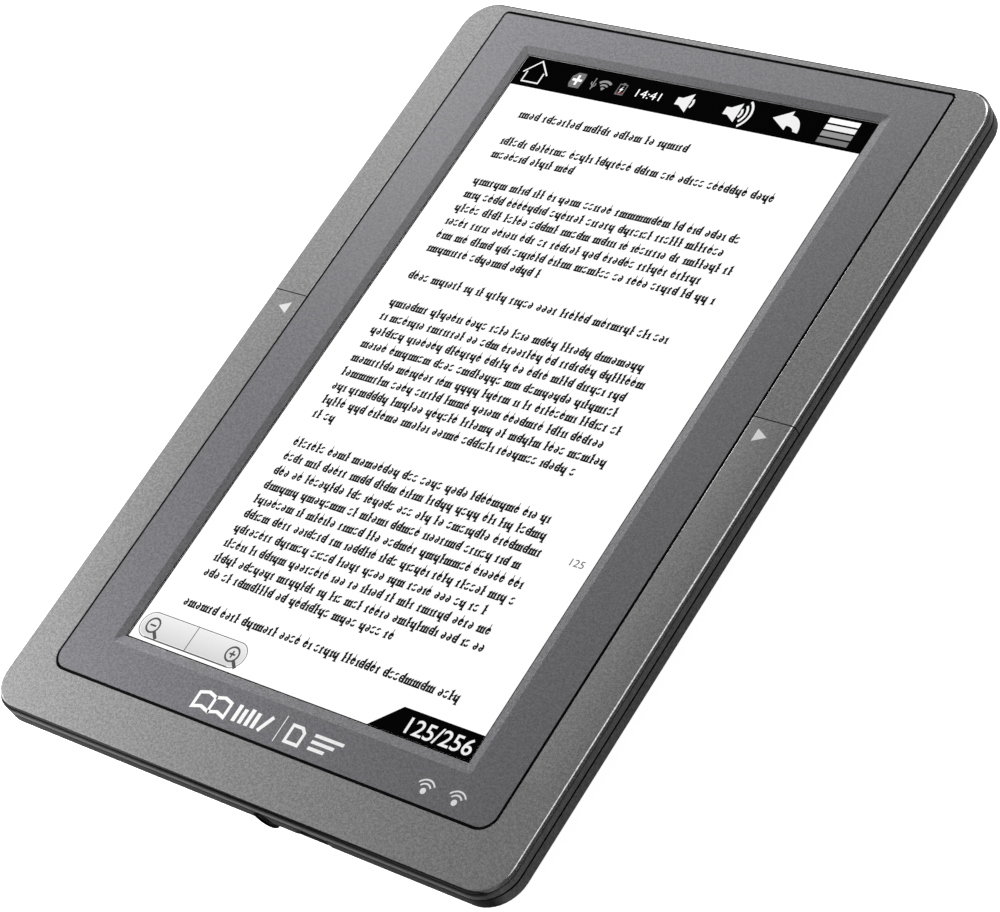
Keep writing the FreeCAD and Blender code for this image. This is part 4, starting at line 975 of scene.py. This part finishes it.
def key_section(outer, inner, top, skirt):
    """The key across its length: a plate with a strongly rounded outer edge and a short skirt."""
    section = [(outer, skirt)]
    for i in range(9):
        angle = math.pi / 2 * i / 8
        section.append((outer - KEY_EDGE_ROUND * (1 - math.cos(angle)),
                        top - KEY_EDGE_ROUND * (1 - math.sin(angle))))
    for i in range(4):
        angle = math.pi / 2 * i / 3
        section.append((inner + KEY_SEAM_ROUND * (1 - math.sin(angle)),
                        top - KEY_SEAM_ROUND * (1 - math.cos(angle))))
    plate_foot = top - KEY_PLATE
    skirt_inside = outer - KEY_SKIRT
    return section + [(inner, plate_foot), (skirt_inside, plate_foot), (skirt_inside, skirt)]


def key_mesh(name, sign, section, foot, tip):
    """The key's section swept from its foot to its tip, with closed ends."""
    points = []
    for step in range(KEY_STEPS + 1):
        y = foot + (tip - foot) * step / KEY_STEPS
        points += [(sign * x, y, z) for x, z in section]
    count = len(section)
    faces = swept_faces(KEY_STEPS + 1, count)
    faces.append(tuple(reversed(range(count))))
    faces.append(tuple(range(KEY_STEPS * count, (KEY_STEPS + 1) * count)))
    if sign > 0:
        faces = [face[::-1] for face in faces]
    mesh = new_mesh(name, points, faces)
    mesh.validate()
    mesh.shade_smooth()
    mesh.set_sharp_from_angle(angle=KEY_SHARP_ANGLE)
    return mesh


def make_key_skin(side, sign, material):
    """One key's visible skin, swept from the key's foot to its free end, in place of the key's CAD node,
    which is hidden.
    """
    node = f"{side}_page_key"
    name = f"{side}_key_skin"
    low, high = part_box(node)
    outer = max(abs(low.x), abs(high.x))
    inner = min(abs(low.x), abs(high.x))
    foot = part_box("lower_trim")[1].y
    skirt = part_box("upper_trim")[0].z
    section = key_section(outer, inner, high.z, skirt)
    skin = new_object(name, key_mesh(name, sign, section, foot, high.y), material)
    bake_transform(skin)
    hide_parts(node)


# ---------------------------------------------------------------- floor, light, camera

def make_floor():
    """A pale floor just under the object, with a light of its own as in a bright studio."""
    material, tree, shader, position = new_material("floor_paper")
    clouds = noise(tree, position, 0.4)
    tree.links.new(ramp(tree, clouds, 0.93, 0.95), shader.inputs["Base Color"])
    shader.inputs["Roughness"].default_value = 0.9
    shader.inputs["Emission Color"].default_value = (1, 1, 1, 1)
    shader.inputs["Emission Strength"].default_value = FLOOR_GLOW
    corners = rectangle(-FLOOR_REACH, -FLOOR_REACH, FLOOR_REACH, FLOOR_REACH)
    mesh = new_mesh("floor", [(x, y, -FLOOR_GAP) for x, y in corners], [(0, 1, 2, 3)])
    new_object("floor", mesh, material)


def make_world():
    """The studio's even light."""
    world = bpy.data.worlds.new("studio")
    world.use_nodes = True
    background = world.node_tree.nodes["Background"]
    background.inputs["Color"].default_value = (1, 1, 1, 1)
    background.inputs["Strength"].default_value = WORLD_LIGHT
    bpy.context.scene.world = world


def make_light(name, place, size, power):
    """A soft rectangular light that faces the middle of the screen."""
    light = bpy.data.lights.new(name, "AREA")
    light.shape = "RECTANGLE"
    light.size, light.size_y = size
    light.energy = power
    lamp = bpy.data.objects.new(name, light)
    lamp.location = place
    lamp.rotation_euler = (Vector(place) - Vector(CENTRE)).to_track_quat("Z", "Y").to_euler()
    bpy.context.scene.collection.objects.link(lamp)


def view_axes():
    """The camera's right, up and backward directions."""
    azimuth, elevation, roll = (math.radians(a) for a in (VIEW_AZIMUTH, VIEW_ELEVATION, VIEW_ROLL))
    level = math.cos(elevation)
    back = Vector((math.sin(azimuth) * level, -math.cos(azimuth) * level, math.sin(elevation)))
    level_right = Vector((0, 0, 1)).cross(back).normalized()
    level_up = back.cross(level_right)
    right = level_right * math.cos(roll) + level_up * math.sin(roll)
    return right, back.cross(right), back


def make_camera():
    """The camera at the photograph's angle."""
    right, up, back = view_axes()
    camera = bpy.data.cameras.new("camera")
    camera.lens = LENS
    camera.sensor_width = SENSOR_WIDTH
    camera.clip_start = NEAREST_SEEN
    camera.clip_end = FARTHEST_SEEN
    holder = bpy.data.objects.new("camera", camera)
    turn = Matrix((right, up, back)).transposed().to_4x4()
    holder.matrix_world = Matrix.Translation(VIEW_TARGET + back * VIEW_DISTANCE) @ turn
    bpy.context.scene.collection.objects.link(holder)
    bpy.context.scene.camera = holder


# ---------------------------------------------------------------- making

materials = make_materials()
dress_cad_nodes(materials)
make_page(materials)
make_prints(materials)
make_seam(materials["seam"])
make_jack_rim(materials["seam"])
make_key_skin("left", -1, materials["trim"])
make_key_skin("right", 1, materials["trim"])
make_floor()
make_world()
for name, place, size, power in LIGHTS:
    make_light(name, place, size, power)
make_camera()
bpy.context.scene.view_settings.view_transform = "Standard"
